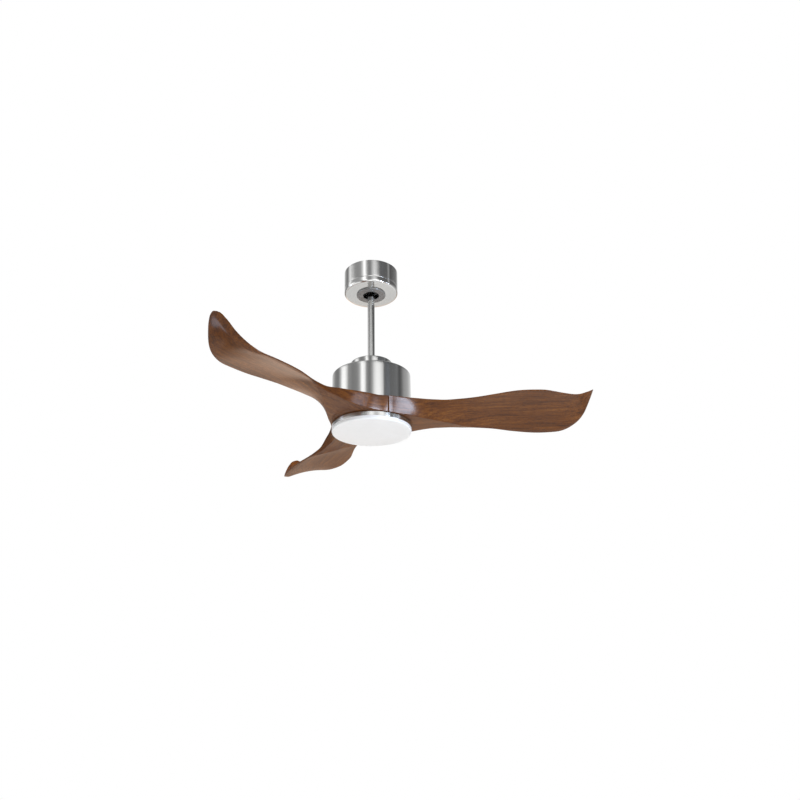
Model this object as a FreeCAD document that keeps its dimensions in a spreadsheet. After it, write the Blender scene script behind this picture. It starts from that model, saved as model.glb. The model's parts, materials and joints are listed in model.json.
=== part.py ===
import FreeCAD, Part

import math
import os
import re
import Sketcher
from FreeCAD import Placement, Rotation, Vector

# A three-blade ceiling fan with a disc light. Millimetres; the origin is the centre of the
# hanger bracket's ceiling face and +Z points up, so every height below is negative.

doc = FreeCAD.newDocument("ceiling_fan")
sheet = doc.addObject("Spreadsheet::Sheet", "Sizes")

SIZES = {
    # hanger bracket
    "plateRadius": 76, "plateThickness": 2.5, "cableHoleRadius": 13, "cableHoleOffset": 34,
    "slotSpacing": 100, "slotLength": 14, "slotWidth": 5.5,
    "legWidth": 30, "legThickness": 3, "seatWall": 4.4,
    "seatTopDrop": 8, "seatHeight": 12, "seatMouth": 26,
    # canopy
    "canopyRadius": 85, "canopyDepth": 76.5, "canopyWall": 1.2, "canopyRound": 8.5,
    "ceilingGap": 0.5, "canopyHoleRadius": 27,
    "ringRadius": 46, "ringHeight": 4, "ringWall": 1.2, "ringRound": 1, "neckWall": 1.7,
    "snapBead": 0.8,
    "canopyScrewCircle": 33, "canopyScrewCount": 2, "canopyScrewBite": 8,
    # receiver, terminals
    "receiverLength": 80, "receiverWidth": 28, "receiverHeight": 24, "receiverWall": 1.6,
    "receiverOffset": 56, "boardThickness": 1.6,
    "terminalLength": 48, "terminalWidth": 18, "terminalHeight": 16, "terminalOffset": 57,
    "terminalPitch": 14, "clampScrewRadius": 1.6, "earthScrewX": 52, "earthScrewY": 36,
    # hanger ball and its liner
    "ballDepth": 42, "ballRadius": 30, "ballTopCut": 27, "linerThickness": 2.5,
    "runningClearance": 0.05, "ballPinRadius": 3, "ballPinLength": 40, "ballPinRise": 12,
    # downrod and leads
    "rodRadius": 11, "rodWall": 1.5, "rodTop": 13, "rodBottom": 352,
    "leadRadius": 1.1, "leadCircle": 6.2, "leadCount": 4, "leadTop": 10, "leadTurn": 45,
    "grommetFlange": 2, "grommetDepth": 6,
    # coupling and its cover
    "couplingRadius": 17, "couplingTop": 326, "couplingFlangeRadius": 40, "couplingFlange": 4,
    "couplingPinRadius": 3, "couplingPinDepth": 338, "couplingPinReach": 4, "clipWire": 0.9,
    "clipLoopWire": 1.2,
    "setScrewDepth": 346, "setScrewRadius": 2.5, "setScrewLength": 8,
    "coverRadius": 64.5, "coverTop": 320.5, "coverWall": 1, "coverRound": 4,
    "coverClearance": 1,
    # motor housing
    "housingRadius": 120, "housingTop": 362, "housingHeight": 120.5, "housingWall": 1.2,
    "housingRound": 6, "bracketRadius": 60, "bracketThickness": 3,
    "housingScrewCircle": 52, "housingScrewCount": 4,
    "bracketScrewCircle": 30, "bracketScrewCount": 3,
    # control board and light driver
    "boardDrop": 22, "boardInner": 24, "boardOuter": 78, "standoffRadius": 3.5,
    "standoffCircle": 68, "standoffCount": 3, "standoffTurn": 30,
    "capacitorRadius": 6, "capacitorHeight": 18, "capacitorCircle": 50, "capacitorCount": 3,
    "capacitorTurn": -90,
    "driverLength": 56, "driverWidth": 26, "driverHeight": 20, "driverOffset": 48,
    # shaft and bearings
    "shaftRadius": 12.5, "shaftBore": 8, "raceWall": 5, "bearingHeight": 9, "sealGap": 1,
    "bearingBallRadius": 3, "bearingBallCount": 9, "outerRaceWall": 4.4,
    "circlipWidth": 3.5, "circlipThickness": 1.5, "circlipGap": 0.3,
    # motor
    "motorTop": 428, "motorHeight": 53, "motorRadius": 74, "coverThickness": 3,
    "bearingSeatWall": 4, "yokeThickness": 4.5, "yokeInset": 5,
    "magnetThickness": 4, "magnetCount": 20, "magnetInset": 8, "magnetSpread": 14,
    "airGap": 1, "stackInset": 14, "toothCount": 12, "toothWidth": 9, "toothShoe": 4.5,
    "coreHubRadius": 28, "slotMouth": 3, "coilWidth": 16, "coilInner": 35, "coilOuter": 55,
    "coilOverhang": 4,
    # blade hub
    "hubPlateRadius": 112, "hubPlateThickness": 3, "hubPlateBore": 20,
    "rotorScrewCircle": 40, "rotorScrewCount": 6,
    "hubHeight": 40, "hubInner": 62, "seamReach": 15, "seamAngle": 54.6,
    "hubLean": 13,
    "bladeScrewCircle": 88, "bladeScrewSpread": 30, "bladeScrewRadius": 2.5,
    "bladeScrewSeat": 16, "bladeScrewHeadRadius": 5, "bladeScrewHeadHeight": 4,
    # blades
    "bladeCount": 3, "bladeRadius": 660, "bladeChord": 208, "bladeAzimuth": -4.7,
    "bladeThickness": 8, "bladeEdge": 3, "bladeCup": 9, "crownRunout": 0.3, "rootInset": 2,
    # light
    "lightGap": 1, "panRadius": 120.4, "panHeight": 12.5, "panWall": 1.2, "panHole": 19,
    "supportRadius": 50, "supportThickness": 3, "panScrewCircle": 36, "panScrewCount": 3,
    "lightNutRadius": 16.5, "lightNutHeight": 6,
    "ledBoardInner": 45, "ledBoardOuter": 108, "ledBoardThickness": 1.6,
    "ledWidth": 3, "ledHeight": 0.8, "ledCircle": 78, "ledCount": 30,
    "ledScrewCircle": 100, "ledScrewCount": 4, "ledScrewTurn": 45,
    "connectorLength": 14, "connectorWidth": 9, "connectorHeight": 9,
    "diffuserRadius": 120, "diffuserHeight": 12.6, "diffuserWall": 2, "diffuserRound": 5,
    "twistGap": 0.3, "collarInset": 4.2, "collarWall": 2, "lugReach": 2.2, "lugHeight": 1.6,
    "lugAngle": 18, "tabAngle": 20, "tabReach": 2.6, "tabThickness": 1.2, "tabRise": 0.8,
    "lugCount": 3,
    # screws
    "screwRadius": 2, "screwHeadRadius": 3.6, "screwHeadHeight": 2.4,
}

for row, (alias, number) in enumerate(SIZES.items(), start=1):
    sheet.set(f"A{row}", alias)
    sheet.set(f"B{row}", str(number))
    sheet.setAlias(f"B{row}", alias)
doc.recompute()

# Planes that several pieces share, as expressions of the sizes.
BALL = "-ballDepth"
SEAT_RADIUS = "(ballRadius + 2*runningClearance + linerThickness)"
SEAT_TOP = "(-ballDepth - seatTopDrop)"
SEAT_BOTTOM = "(-ballDepth - seatTopDrop - seatHeight)"
PLATE_BOTTOM = "(-plateThickness)"
CANOPY_BOTTOM = "(-canopyDepth)"
HOUSING_TOP = "(-housingTop)"
BRACKET_TOP = "(-housingTop - housingWall)"
BRACKET_BOTTOM = "(-housingTop - housingWall - bracketThickness)"
FLANGE_BOTTOM = "(-housingTop - housingWall - bracketThickness - couplingFlange)"
BOARD_TOP = "(-housingTop - housingWall - bracketThickness - boardDrop)"
BOARD_BOTTOM = "(-housingTop - housingWall - bracketThickness - boardDrop - boardThickness)"
MOTOR_TOP = "(-motorTop)"
MOTOR_BOTTOM = "(-motorTop - motorHeight)"
MOTOR_SPLIT = "(-motorTop - motorHeight/2)"
HUB_TOP = "(-motorTop - motorHeight - hubPlateThickness)"
HUB_BOTTOM = "(-motorTop - motorHeight - hubPlateThickness - hubHeight)"
PAN_TOP = "(-motorTop - motorHeight - hubPlateThickness - hubHeight - lightGap)"
PAN_BOTTOM = f"({PAN_TOP} - panHeight)"
PAN_FLOOR = f"({PAN_TOP} - panWall)"
RACE_INNER = "(shaftRadius + raceWall)"
COVER_BORE = "(shaftRadius + raceWall + sealGap)"
BALL_CIRCLE = "(shaftRadius + raceWall + runningClearance + bearingBallRadius)"
RACE_OUTER = "(shaftRadius + raceWall + 2*runningClearance + 2*bearingBallRadius)"
BEARING_SEAT = f"({RACE_OUTER} + outerRaceWall)"
UPPER_BEARING = "(-motorTop - coverThickness)"
LOWER_BEARING = "(-motorTop - motorHeight + coverThickness + bearingHeight)"
SKIRT_INNER = "(motorRadius - coverThickness)"
MAGNET_OUTER = f"({SKIRT_INNER} - yokeThickness)"
MAGNET_INNER = f"({MAGNET_OUTER} - magnetThickness)"
CORE_RADIUS = f"({MAGNET_INNER} - airGap)"
SEAM_RADIUS = "(housingRadius + seamReach)"
ROOT_REACH = "(housingRadius - rootInset)"

WORD = re.compile(r"[A-Za-z][A-Za-z0-9]*")
pieces = {}


def bound(text):
    """The expression with each alias written as a cell of the sheet."""
    return WORD.sub(lambda m: "Sizes." + m[0] if m[0] in SIZES else m[0], text)


def value(text):
    return float(sheet.evalExpression(bound(text)))


def keep(label, piece):
    piece.Label = label
    pieces[label] = piece
    return piece


def bind(item, **properties):
    """Ties each named property to its expression; a double underscore stands for a dot."""
    for name, text in properties.items():
        item.setExpression(name.replace("__", "."), bound(text))


def origin_part(body, role):
    return next(item for item in body.Origin.OriginFeatures if item.Role == role)


def outline(body, role, corners, height=None, spine=None):
    """A closed outline on one origin plane whose every corner is held by two expressions."""
    sketch = body.newObject("Sketcher::SketchObject", body.Name + "Outline")
    sketch.AttachmentSupport = [(origin_part(body, role), "")]
    sketch.MapMode = "FlatFace"
    if height:
        sketch.setExpression("AttachmentOffset.Base.z", bound(height))
    points = [Vector(value(across), value(along), 0) for across, along in corners]
    for start, end in zip(points, points[1:] + points[:1]):
        sketch.addGeometry(Part.LineSegment(start, end))
    for index, (across, along) in enumerate(corners):
        previous = (index - 1) % len(corners)
        sketch.addConstraint(Sketcher.Constraint("Coincident", previous, 2, index, 1))
        hold_point(sketch, index, 1, across, along)
    if spine:
        line = Part.LineSegment(Vector(value(spine), 0, 0), Vector(value(spine), 1, 0))
        index = sketch.addGeometry(line, True)
        hold_point(sketch, index, 1, spine, "0")
        hold_point(sketch, index, 2, spine, "1")
    return sketch


def hold_point(sketch, index, end, across, along):
    for kind, axis, text in (("DistanceX", -2, across), ("DistanceY", -1, along)):
        if value(text) == 0:
            sketch.addConstraint(Sketcher.Constraint("PointOnObject", index, end, axis))
        else:
            rule = Sketcher.Constraint(kind, -1, 1, index, end, value(text))
            sketch.setExpression(f"Constraints[{sketch.addConstraint(rule)}]", bound(text))


def body_for(label):
    return keep(label, doc.addObject("PartDesign::Body", label))


def polar(body, feature, count):
    """Repeats a feature evenly about the Z axis."""
    pattern = body.newObject("PartDesign::PolarPattern", body.Name + "Pattern")
    pattern.Originals = [feature]
    pattern.Axis = (origin_part(body, "Z_Axis"), [""])
    pattern.Angle = 360
    bind(pattern, Occurrences=count)
    body.Tip = pattern
    return pattern


def turned(label, corners, spine=None, count=None):
    """A piece turned from a profile of (radius, height) corners about Z, or about a parallel
    spine at that radius and then repeated around Z."""
    body = body_for(label)
    sketch = outline(body, "XZ_Plane", corners, spine=spine)
    turning = body.newObject("PartDesign::Revolution", label + "Turned")
    turning.Profile = sketch
    turning.ReferenceAxis = (sketch, ["Axis0" if spine else "V_Axis"])
    turning.Angle = 360
    if count:
        polar(body, turning, count)
    return body


def add_turned(body, corners):
    """One more turned ring on a body."""
    turning = body.newObject("PartDesign::Revolution", body.Name + "Ring")
    turning.Profile = outline(body, "XZ_Plane", corners)
    turning.ReferenceAxis = (turning.Profile[0], ["V_Axis"])
    turning.Angle = 360
    return turning


def plate(label, corners, bottom, height, count=None):
    """A flat piece raised from an outline of (x, y) corners at the height of its underside."""
    body = body_for(label)
    pad = body.newObject("PartDesign::Pad", label + "Pad")
    pad.Profile = outline(body, "XY_Plane", corners, height=bottom)
    bind(pad, Length=height)
    if count:
        polar(body, pad, count)
    return body


def rectangle(length, width, x="0", y="0"):
    """Corners of a rectangle about a centre."""
    left, right = f"({x}) - ({length})/2", f"({x}) + ({length})/2"
    near, far = f"({y}) - ({width})/2", f"({y}) + ({width})/2"
    return [(left, near), (right, near), (right, far), (left, far)]


def drilled(body, circle, radius, bottom, height, count, turn="0"):
    """Straight round holes on a circle about Z, cut upwards from a height."""
    sketch = body.newObject("Sketcher::SketchObject", body.Name + "Holes")
    sketch.AttachmentSupport = [(origin_part(body, "XY_Plane"), "")]
    sketch.MapMode = "FlatFace"
    bind(sketch, AttachmentOffset__Base__z=bottom)
    centre_x, centre_y = f"({circle})*cos({turn})", f"({circle})*sin({turn})"
    centre = Vector(value(centre_x), value(centre_y), 0)
    hole = sketch.addGeometry(Part.Circle(centre, Vector(0, 0, 1), value(radius)))
    hold_point(sketch, hole, 3, centre_x, centre_y)
    rule = sketch.addConstraint(Sketcher.Constraint("Radius", hole, value(radius)))
    bind(sketch, **{f"Constraints[{rule}]": radius})
    pocket = body.newObject("PartDesign::Pocket", body.Name + "Drilled")
    pocket.Profile = sketch
    pocket.Reversed = True
    bind(pocket, Length=height)
    return polar(body, pocket, count)


def rounded(body, radius, edge_radius, height):
    """Fillets the circular edge of a turned body that has this radius and height."""
    doc.recompute()
    base = body.Tip
    found = [
        f"Edge{number}"
        for number, edge in enumerate(base.Shape.Edges, start=1)
        if isinstance(edge.Curve, Part.Circle)
        and abs(edge.Curve.Radius - value(edge_radius)) < 1e-4
        and abs(edge.Curve.Center.z - value(height)) < 1e-4
    ]
    fillet = body.newObject("PartDesign::Fillet", body.Name + "Round")
    fillet.Base = (base, found)
    bind(fillet, Radius=radius)
    return fillet


def tube(label, inner, outer, bottom, top):
    """A plain ring or tube about Z."""
    return turned(label, [(inner, bottom), (outer, bottom), (outer, top), (inner, top)])


def screws(label, circle, seat, length, count, radius="screwRadius", head="screwHeadRadius",
           cap="screwHeadHeight"):
    """Pan-head screws standing upwards on a circle about Z, their heads below the seat."""
    corners = [
        (circle, f"{seat} - {cap}"), (f"{circle} + {head}", f"{seat} - {cap}"),
        (f"{circle} + {head}", seat), (f"{circle} + {radius}", seat),
        (f"{circle} + {radius}", f"{seat} + {length}"), (circle, f"{seat} + {length}"),
    ]
    return turned(label, corners, spine=circle, count=count)


def screws_down(label, circle, seat, length, count):
    """The same screws pointing down, their heads above the seat."""
    corners = [
        (circle, f"{seat} - {length}"), (f"{circle} + screwRadius", f"{seat} - {length}"),
        (f"{circle} + screwRadius", seat), (f"{circle} + screwHeadRadius", seat),
        (f"{circle} + screwHeadRadius", f"{seat} + screwHeadHeight"),
        (circle, f"{seat} + screwHeadHeight"),
    ]
    return turned(label, corners, spine=circle, count=count)


def block(name, length, width, height, x, y, z):
    """A box by its middle in plan and its underside."""
    item = doc.addObject("Part::Box", name)
    bind(item, Length=length, Width=width, Height=height, Placement__Base__z=z,
         Placement__Base__x=f"({x}) - ({length})/2", Placement__Base__y=f"({y}) - ({width})/2")
    return item


def cylinder(name, radius, height, x, y, z, axis=Vector(0, 0, 1)):
    item = doc.addObject("Part::Cylinder", name)
    item.Placement = Placement(Vector(), Rotation(Vector(0, 0, 1), axis))
    bind(item, Radius=radius, Height=height, Placement__Base__x=x, Placement__Base__y=y,
         Placement__Base__z=z)
    return item


def joined(name, *items):
    result = doc.addObject("Part::MultiFuse", name)
    result.Shapes = list(items)
    return result


def cut(name, base, *tools):
    result = doc.addObject("Part::Cut", name)
    result.Base = base
    result.Tool = tools[0] if len(tools) == 1 else joined(name + "Tools", *tools)
    return result


def ball(name, radius, z):
    item = doc.addObject("Part::Sphere", name)
    bind(item, Radius=radius, Placement__Base__z=z)
    return item


def group(name, *items):
    """Separate solids that share one node."""
    result = doc.addObject("Part::Compound", name)
    result.Links = list(items)
    return result


# ---- ceiling mount ----

def hanger_bracket():
    """Round ceiling plate, two legs and a spherical seat that is open at the front, so that the
    ball can be hooked in with the rod already on it."""
    disc = cylinder("PlateDisc", "plateRadius", "plateThickness", "0", "0", PLATE_BOTTOM)
    cable_hole = cylinder("CableHole", "cableHoleRadius", "plateThickness", "0",
                          "-cableHoleOffset", PLATE_BOTTOM)
    slots = []
    for side in (-1, 1):
        middle = f"{side}*slotSpacing/2"
        straight = "slotLength - slotWidth"
        slots.append(block(f"Slot{side + 1}", straight, "slotWidth", "plateThickness",
                           middle, "0", PLATE_BOTTOM))
        for end in (-1, 1):
            slots.append(cylinder(f"SlotEnd{side + 1}{end + 1}", "slotWidth/2", "plateThickness",
                                  f"{middle} + {end}*({straight})/2", "0", PLATE_BOTTOM))
    earth_hole = cylinder("EarthHole", "screwRadius", "plateThickness", "-earthScrewX",
                          "-earthScrewY", PLATE_BOTTOM)
    top = cut("Plate", disc, cable_hole, earth_hole, *slots)
    leg_height = f"-plateThickness - {SEAT_BOTTOM}"
    leg_middle = f"({SEAT_RADIUS} + seatWall - legThickness/2)"
    legs = [block(f"Leg{side + 1}", "legThickness", "legWidth", leg_height,
                  f"{side}*{leg_middle}", "0", SEAT_BOTTOM) for side in (-1, 1)]
    seat = cylinder("SeatRing", f"{SEAT_RADIUS} + seatWall", "seatHeight", "0", "0", SEAT_BOTTOM)
    hollow = ball("SeatHollow", SEAT_RADIUS, BALL)
    mouth = block("SeatMouth", "seatMouth", f"{SEAT_RADIUS} + seatWall", "seatHeight", "0",
                  f"-({SEAT_RADIUS} + seatWall)/2", SEAT_BOTTOM)
    frame = joined("BracketFrame", top, seat, *legs)
    threads = [cylinder(f"CanopyThread{side + 1}", "screwRadius", "canopyScrewBite",
                        f"{side}*canopyScrewCircle", "0", SEAT_BOTTOM) for side in (-1, 1)]
    keep("hanger_bracket", cut("HangerBracket", frame, hollow, mouth, *threads))


def canopy():
    """Drawn cup that hides the bracket, with a rounded lower edge and a hole for the rod."""
    inner = "canopyRadius - canopyWall"
    floor = f"{CANOPY_BOTTOM} + canopyWall"
    cup = turned("canopy", [
        ("canopyHoleRadius", CANOPY_BOTTOM), ("canopyRadius", CANOPY_BOTTOM),
        ("canopyRadius", "-ceilingGap"), (inner, "-ceilingGap"), (inner, floor),
        ("canopyHoleRadius", floor)])
    rounded(cup, "canopyRound", "canopyRadius", CANOPY_BOTTOM)
    rounded(cup, "canopyRound - canopyWall", inner, floor)
    drilled(cup, "canopyScrewCircle", "screwRadius", CANOPY_BOTTOM, "canopyWall",
            "canopyScrewCount")


def canopy_ring():
    """Collar that snaps into the canopy's hole and covers the screw heads."""
    neck = "canopyHoleRadius - neckWall"
    bottom = f"({CANOPY_BOTTOM} - ringHeight)"
    bead = f"({CANOPY_BOTTOM} + canopyWall)"
    ring = turned("canopy_ring", [
        (neck, bottom), ("ringRadius", bottom), ("ringRadius", CANOPY_BOTTOM),
        ("ringRadius - ringWall", CANOPY_BOTTOM), ("ringRadius - ringWall", f"{bottom} + ringWall"),
        ("canopyHoleRadius", f"{bottom} + ringWall"), ("canopyHoleRadius", bead),
        ("canopyHoleRadius + snapBead", bead), ("canopyHoleRadius", f"{bead} + 2*snapBead"),
        (neck, f"{bead} + 2*snapBead")])
    rounded(ring, "ringRound", "ringRadius", bottom)


def canopy_fixings():
    reach = f"{SEAT_BOTTOM} - {CANOPY_BOTTOM}"
    screws("canopy_screws", "canopyScrewCircle", CANOPY_BOTTOM,
           f"({reach} + canopyScrewBite)", "canopyScrewCount")
    low = f"{CANOPY_BOTTOM} + canopyWall"
    inner, outer = "canopyScrewCircle + screwRadius", "canopyScrewCircle + screwHeadRadius"
    turned("canopy_spacers", [(inner, low), (outer, low), (outer, SEAT_BOTTOM),
                              (inner, SEAT_BOTTOM)],
           spine="canopyScrewCircle", count="canopyScrewCount")


def receiver():
    """Remote-control receiver: a moulded case under the plate with its board inside."""
    low = f"({PLATE_BOTTOM} - receiverHeight)"
    shell = block("ReceiverShell", "receiverLength", "receiverWidth", "receiverHeight", "0",
                  "receiverOffset", low)
    hollow = block("ReceiverHollow", "receiverLength - 2*receiverWall",
                   "receiverWidth - 2*receiverWall", "receiverHeight - 2*receiverWall", "0",
                   "receiverOffset", f"{low} + receiverWall")
    keep("receiver_case", cut("ReceiverCase", shell, hollow))
    base = f"({low} + receiverWall)"
    card = block("ReceiverCard", "receiverLength - 2*receiverWall",
                 "receiverWidth - 2*receiverWall", "boardThickness", "0", "receiverOffset", base)
    relay = block("ReceiverRelay", "receiverWidth/2", "receiverWidth/2", "receiverHeight/2",
                  "-receiverLength/4", "receiverOffset", f"{base} + boardThickness")
    coil = cylinder("ReceiverCoil", "receiverWidth/5", "receiverHeight/3", "receiverLength/5",
                    "receiverOffset", f"{base} + boardThickness")
    keep("receiver_board", joined("ReceiverBoard", card, relay, coil))


def terminals():
    """Three-way terminal block with a clamping screw over each end of each way."""
    low = f"({PLATE_BOTTOM} - terminalHeight)"
    middle = "-terminalOffset"
    solid = block("TerminalBody", "terminalLength", "terminalWidth", "terminalHeight", "0",
                  middle, low)
    ways, heads = [], []
    for way in (-1, 0, 1):
        across = f"{way}*terminalPitch"
        ways.append(cylinder(f"WireWay{way + 1}", "screwRadius", "terminalWidth", across,
                             f"{middle} + terminalWidth/2", f"{low} + terminalHeight/2",
                             Vector(0, -1, 0)))
        for end in (-1, 1):
            along = f"{middle} + {end}*terminalWidth/4"
            spot = f"{way + 1}{end + 1}"
            ways.append(cylinder(f"ClampWay{spot}", "clampScrewRadius", "terminalHeight/2",
                                 across, along, low))
            heads.append(cylinder(f"ClampScrew{spot}", "clampScrewRadius",
                                  "terminalHeight/2 - screwRadius/2", across, along, low))
    keep("terminal_block", cut("TerminalBlock", solid, *ways))
    keep("terminal_screws", group("TerminalScrews", *heads))
    shank = cylinder("EarthShank", "screwRadius", "plateThickness", "-earthScrewX",
                     "-earthScrewY", PLATE_BOTTOM)
    head = cylinder("EarthHead", "screwHeadRadius", "screwHeadHeight", "-earthScrewX",
                    "-earthScrewY", f"{PLATE_BOTTOM} - screwHeadHeight")
    keep("earth_screw", joined("EarthScrew", shank, head))


# ---- ball, liner and rod ----

def ball_liner():
    """Nylon ring between seat and ball: it rocks in the seat, and the ball tilts in it."""
    outer = ball("LinerOuter", "ballRadius + runningClearance + linerThickness", BALL)
    inner = ball("LinerInner", "ballRadius + runningClearance", BALL)
    slice_top = f"{SEAT_TOP} + linerThickness"
    band = block("LinerBand", "3*ballRadius", "3*ballRadius", "seatHeight", "0", "0",
                 f"{slice_top} - seatHeight")
    zone = doc.addObject("Part::Common", "LinerZone")
    zone.Base = outer
    zone.Tool = band
    keep("ball_liner", cut("BallLiner", zone, inner))


def hanger_ball():
    """Ball on the rod's top end, held by a cross pin and a set screw."""
    pin_height = f"({BALL} + ballPinRise)"
    sphere = ball("BallSphere", "ballRadius", BALL)
    top = block("BallTop", "2*ballRadius", "2*ballRadius", "ballRadius", "0", "0",
                f"{BALL} + ballTopCut")
    bore = cylinder("BallBore", "rodRadius", "2*ballRadius", "0", "0", f"{BALL} - ballRadius")
    pin_hole = cylinder("BallPinHole", "ballPinRadius", "ballPinLength", "0", "ballPinLength/2",
                        pin_height, Vector(0, -1, 0))
    screw_hole = cylinder("BallScrewHole", "setScrewRadius", "ballRadius", "0", "0", BALL,
                          Vector(1, 0, 0))
    keep("hanger_ball", cut("HangerBall", sphere, top, bore, pin_hole, screw_hole))
    keep("ball_pin", cylinder("BallPin", "ballPinRadius", "ballPinLength", "0",
                              "ballPinLength/2", pin_height, Vector(0, -1, 0)))
    keep("ball_set_screw", cylinder("BallSetScrew", "setScrewRadius", "setScrewLength",
                                    "rodRadius", "0", BALL, Vector(1, 0, 0)))


def downrod():
    """Steel tube with a cross hole near each end and a rubber grommet in its top."""
    length = "rodBottom - rodTop"
    solid = cylinder("RodSolid", "rodRadius", length, "0", "0", "-rodBottom")
    bore = cylinder("RodBore", "rodRadius - rodWall", length, "0", "0", "-rodBottom")
    top_hole = cylinder("RodTopHole", "ballPinRadius", "4*rodRadius", "0", "2*rodRadius",
                        f"{BALL} + ballPinRise", Vector(0, -1, 0))
    low_hole = cylinder("RodLowHole", "couplingPinRadius", "4*rodRadius", "-2*rodRadius", "0",
                        "-couplingPinDepth", Vector(1, 0, 0))
    keep("downrod", cut("Downrod", solid, bore, top_hole, low_hole))
    bore_radius = "rodRadius - rodWall"
    plug = turned("rod_grommet", [
        ("0", "-rodTop - grommetDepth"), (bore_radius, "-rodTop - grommetDepth"),
        (bore_radius, "-rodTop"), ("rodRadius", "-rodTop"), ("rodRadius", "-rodTop + grommetFlange"),
        ("0", "-rodTop + grommetFlange")])
    drilled(plug, "leadCircle", "leadRadius", "-rodTop - grommetDepth",
            "grommetDepth + grommetFlange", "leadCount", "leadTurn")


def supply_leads():
    """Insulated leads from the rod's top, past its pins, down the hollow shaft to the light."""
    low = f"{PAN_FLOOR} + connectorHeight/3"
    strand = body_for("supply_leads")
    sketch = strand.newObject("Sketcher::SketchObject", "LeadSection")
    sketch.AttachmentSupport = [(origin_part(strand, "XY_Plane"), "")]
    sketch.MapMode = "FlatFace"
    bind(sketch, AttachmentOffset__Base__z=low)
    across, along = "leadCircle*cos(45)", "leadCircle*sin(45)"
    circle = Part.Circle(Vector(value(across), value(along), 0), Vector(0, 0, 1),
                         value("leadRadius"))
    round_section = sketch.addGeometry(circle)
    hold_point(sketch, round_section, 3, across, along)
    rule = sketch.addConstraint(Sketcher.Constraint("Radius", round_section, value("leadRadius")))
    bind(sketch, **{f"Constraints[{rule}]": "leadRadius"})
    pad = strand.newObject("PartDesign::Pad", "LeadLength")
    pad.Profile = sketch
    bind(pad, Length=f"-leadTop - ({low})")
    polar(strand, pad, "leadCount")


# ---- coupling, cover and housing ----

def motor_coupling():
    """Collar that joins rod and shaft, with a flange under the motor bracket."""
    profile = turned("motor_coupling", [
        ("rodRadius", "-couplingTop"), ("rodRadius", "-rodBottom"),
        ("shaftRadius", "-rodBottom"), ("shaftRadius", FLANGE_BOTTOM),
        ("couplingFlangeRadius", FLANGE_BOTTOM), ("couplingFlangeRadius", BRACKET_BOTTOM),
        ("couplingRadius", BRACKET_BOTTOM), ("couplingRadius", "-couplingTop")])
    drilled(profile, "bracketScrewCircle", "screwRadius", FLANGE_BOTTOM, "couplingFlange",
            "bracketScrewCount")
    reach = "2*(couplingRadius + couplingPinReach)"
    pin_hole = cylinder("CouplingPinHole", "couplingPinRadius", reach,
                        "-couplingRadius - couplingPinReach", "0", "-couplingPinDepth",
                        Vector(1, 0, 0))
    screw_hole = cylinder("CouplingScrewHole", "setScrewRadius", "2*couplingRadius", "0",
                          "couplingRadius", "-setScrewDepth", Vector(0, -1, 0))
    pieces.pop("motor_coupling")
    profile.Label = "coupling_turned"
    keep("motor_coupling", cut("MotorCoupling", profile, pin_hole, screw_hole))
    whole_pin = cylinder("CouplingPinBar", "couplingPinRadius", reach,
                         "-couplingRadius - couplingPinReach", "0", "-couplingPinDepth",
                         Vector(1, 0, 0))
    clip_x = "couplingRadius + couplingPinReach/2"
    clip_hole = cylinder("ClipHole", "clipWire", "4*couplingPinRadius", clip_x, "0",
                         "-couplingPinDepth - 2*couplingPinRadius")
    keep("coupling_pin", cut("CouplingPin", whole_pin, clip_hole))
    leg = cylinder("ClipLeg", "clipWire", "4*couplingPinRadius", clip_x, "0",
                   "-couplingPinDepth - 2*couplingPinRadius")
    loop = doc.addObject("Part::Torus", "ClipLoop")
    loop.Placement = Placement(Vector(), Rotation(Vector(0, 0, 1), Vector(1, 0, 0)))
    bind(loop, Radius1="couplingPinRadius", Radius2="clipLoopWire", Placement__Base__x=clip_x,
         Placement__Base__z="-couplingPinDepth + 3*couplingPinRadius")
    keep("coupling_clip", joined("CouplingClip", leg, loop))
    grips = [cylinder(f"CouplingScrew{side + 1}", "setScrewRadius", "setScrewLength", "0",
                      f"{side}*rodRadius", "-setScrewDepth", Vector(0, side, 0))
             for side in (-1, 1)]
    keep("coupling_set_screws", group("CouplingSetScrews", *grips))


def coupling_cover():
    """Cup on top of the housing that hides the coupling."""
    hole, inner = "rodRadius + coverClearance", "coverRadius - coverWall"
    cup = turned("coupling_cover", [
        (hole, "-coverTop"), ("coverRadius", "-coverTop"), ("coverRadius", HOUSING_TOP),
        (inner, HOUSING_TOP), (inner, "-coverTop - coverWall"), (hole, "-coverTop - coverWall")])
    rounded(cup, "coverRound", "coverRadius", "-coverTop")
    rounded(cup, "coverRound - coverWall", inner, "-coverTop - coverWall")


def motor_housing():
    """Brushed drum, open below, screwed to the bracket under the coupling cover."""
    bottom, inner = "-housingTop - housingHeight", "housingRadius - housingWall"
    drum = turned("motor_housing", [
        ("couplingRadius", BRACKET_TOP), ("couplingRadius", HOUSING_TOP),
        ("housingRadius", HOUSING_TOP), ("housingRadius", bottom), (inner, bottom),
        (inner, BRACKET_TOP)])
    rounded(drum, "housingRound", "housingRadius", HOUSING_TOP)
    rounded(drum, "housingRound - housingWall", inner, BRACKET_TOP)
    drilled(drum, "housingScrewCircle", "screwRadius", BRACKET_TOP, "housingWall",
            "housingScrewCount")
    screws_down("housing_screws", "housingScrewCircle", HOUSING_TOP,
                "(housingWall + bracketThickness)", "housingScrewCount")
    yoke = tube("motor_bracket", "couplingRadius", "bracketRadius", BRACKET_BOTTOM, BRACKET_TOP)
    drilled(yoke, "housingScrewCircle", "screwRadius", BRACKET_BOTTOM, "bracketThickness",
            "housingScrewCount")
    drilled(yoke, "bracketScrewCircle", "screwRadius", BRACKET_BOTTOM, "bracketThickness",
            "bracketScrewCount")
    screws("bracket_screws", "bracketScrewCircle", FLANGE_BOTTOM,
           "(couplingFlange + bracketThickness)", "bracketScrewCount")


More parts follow.
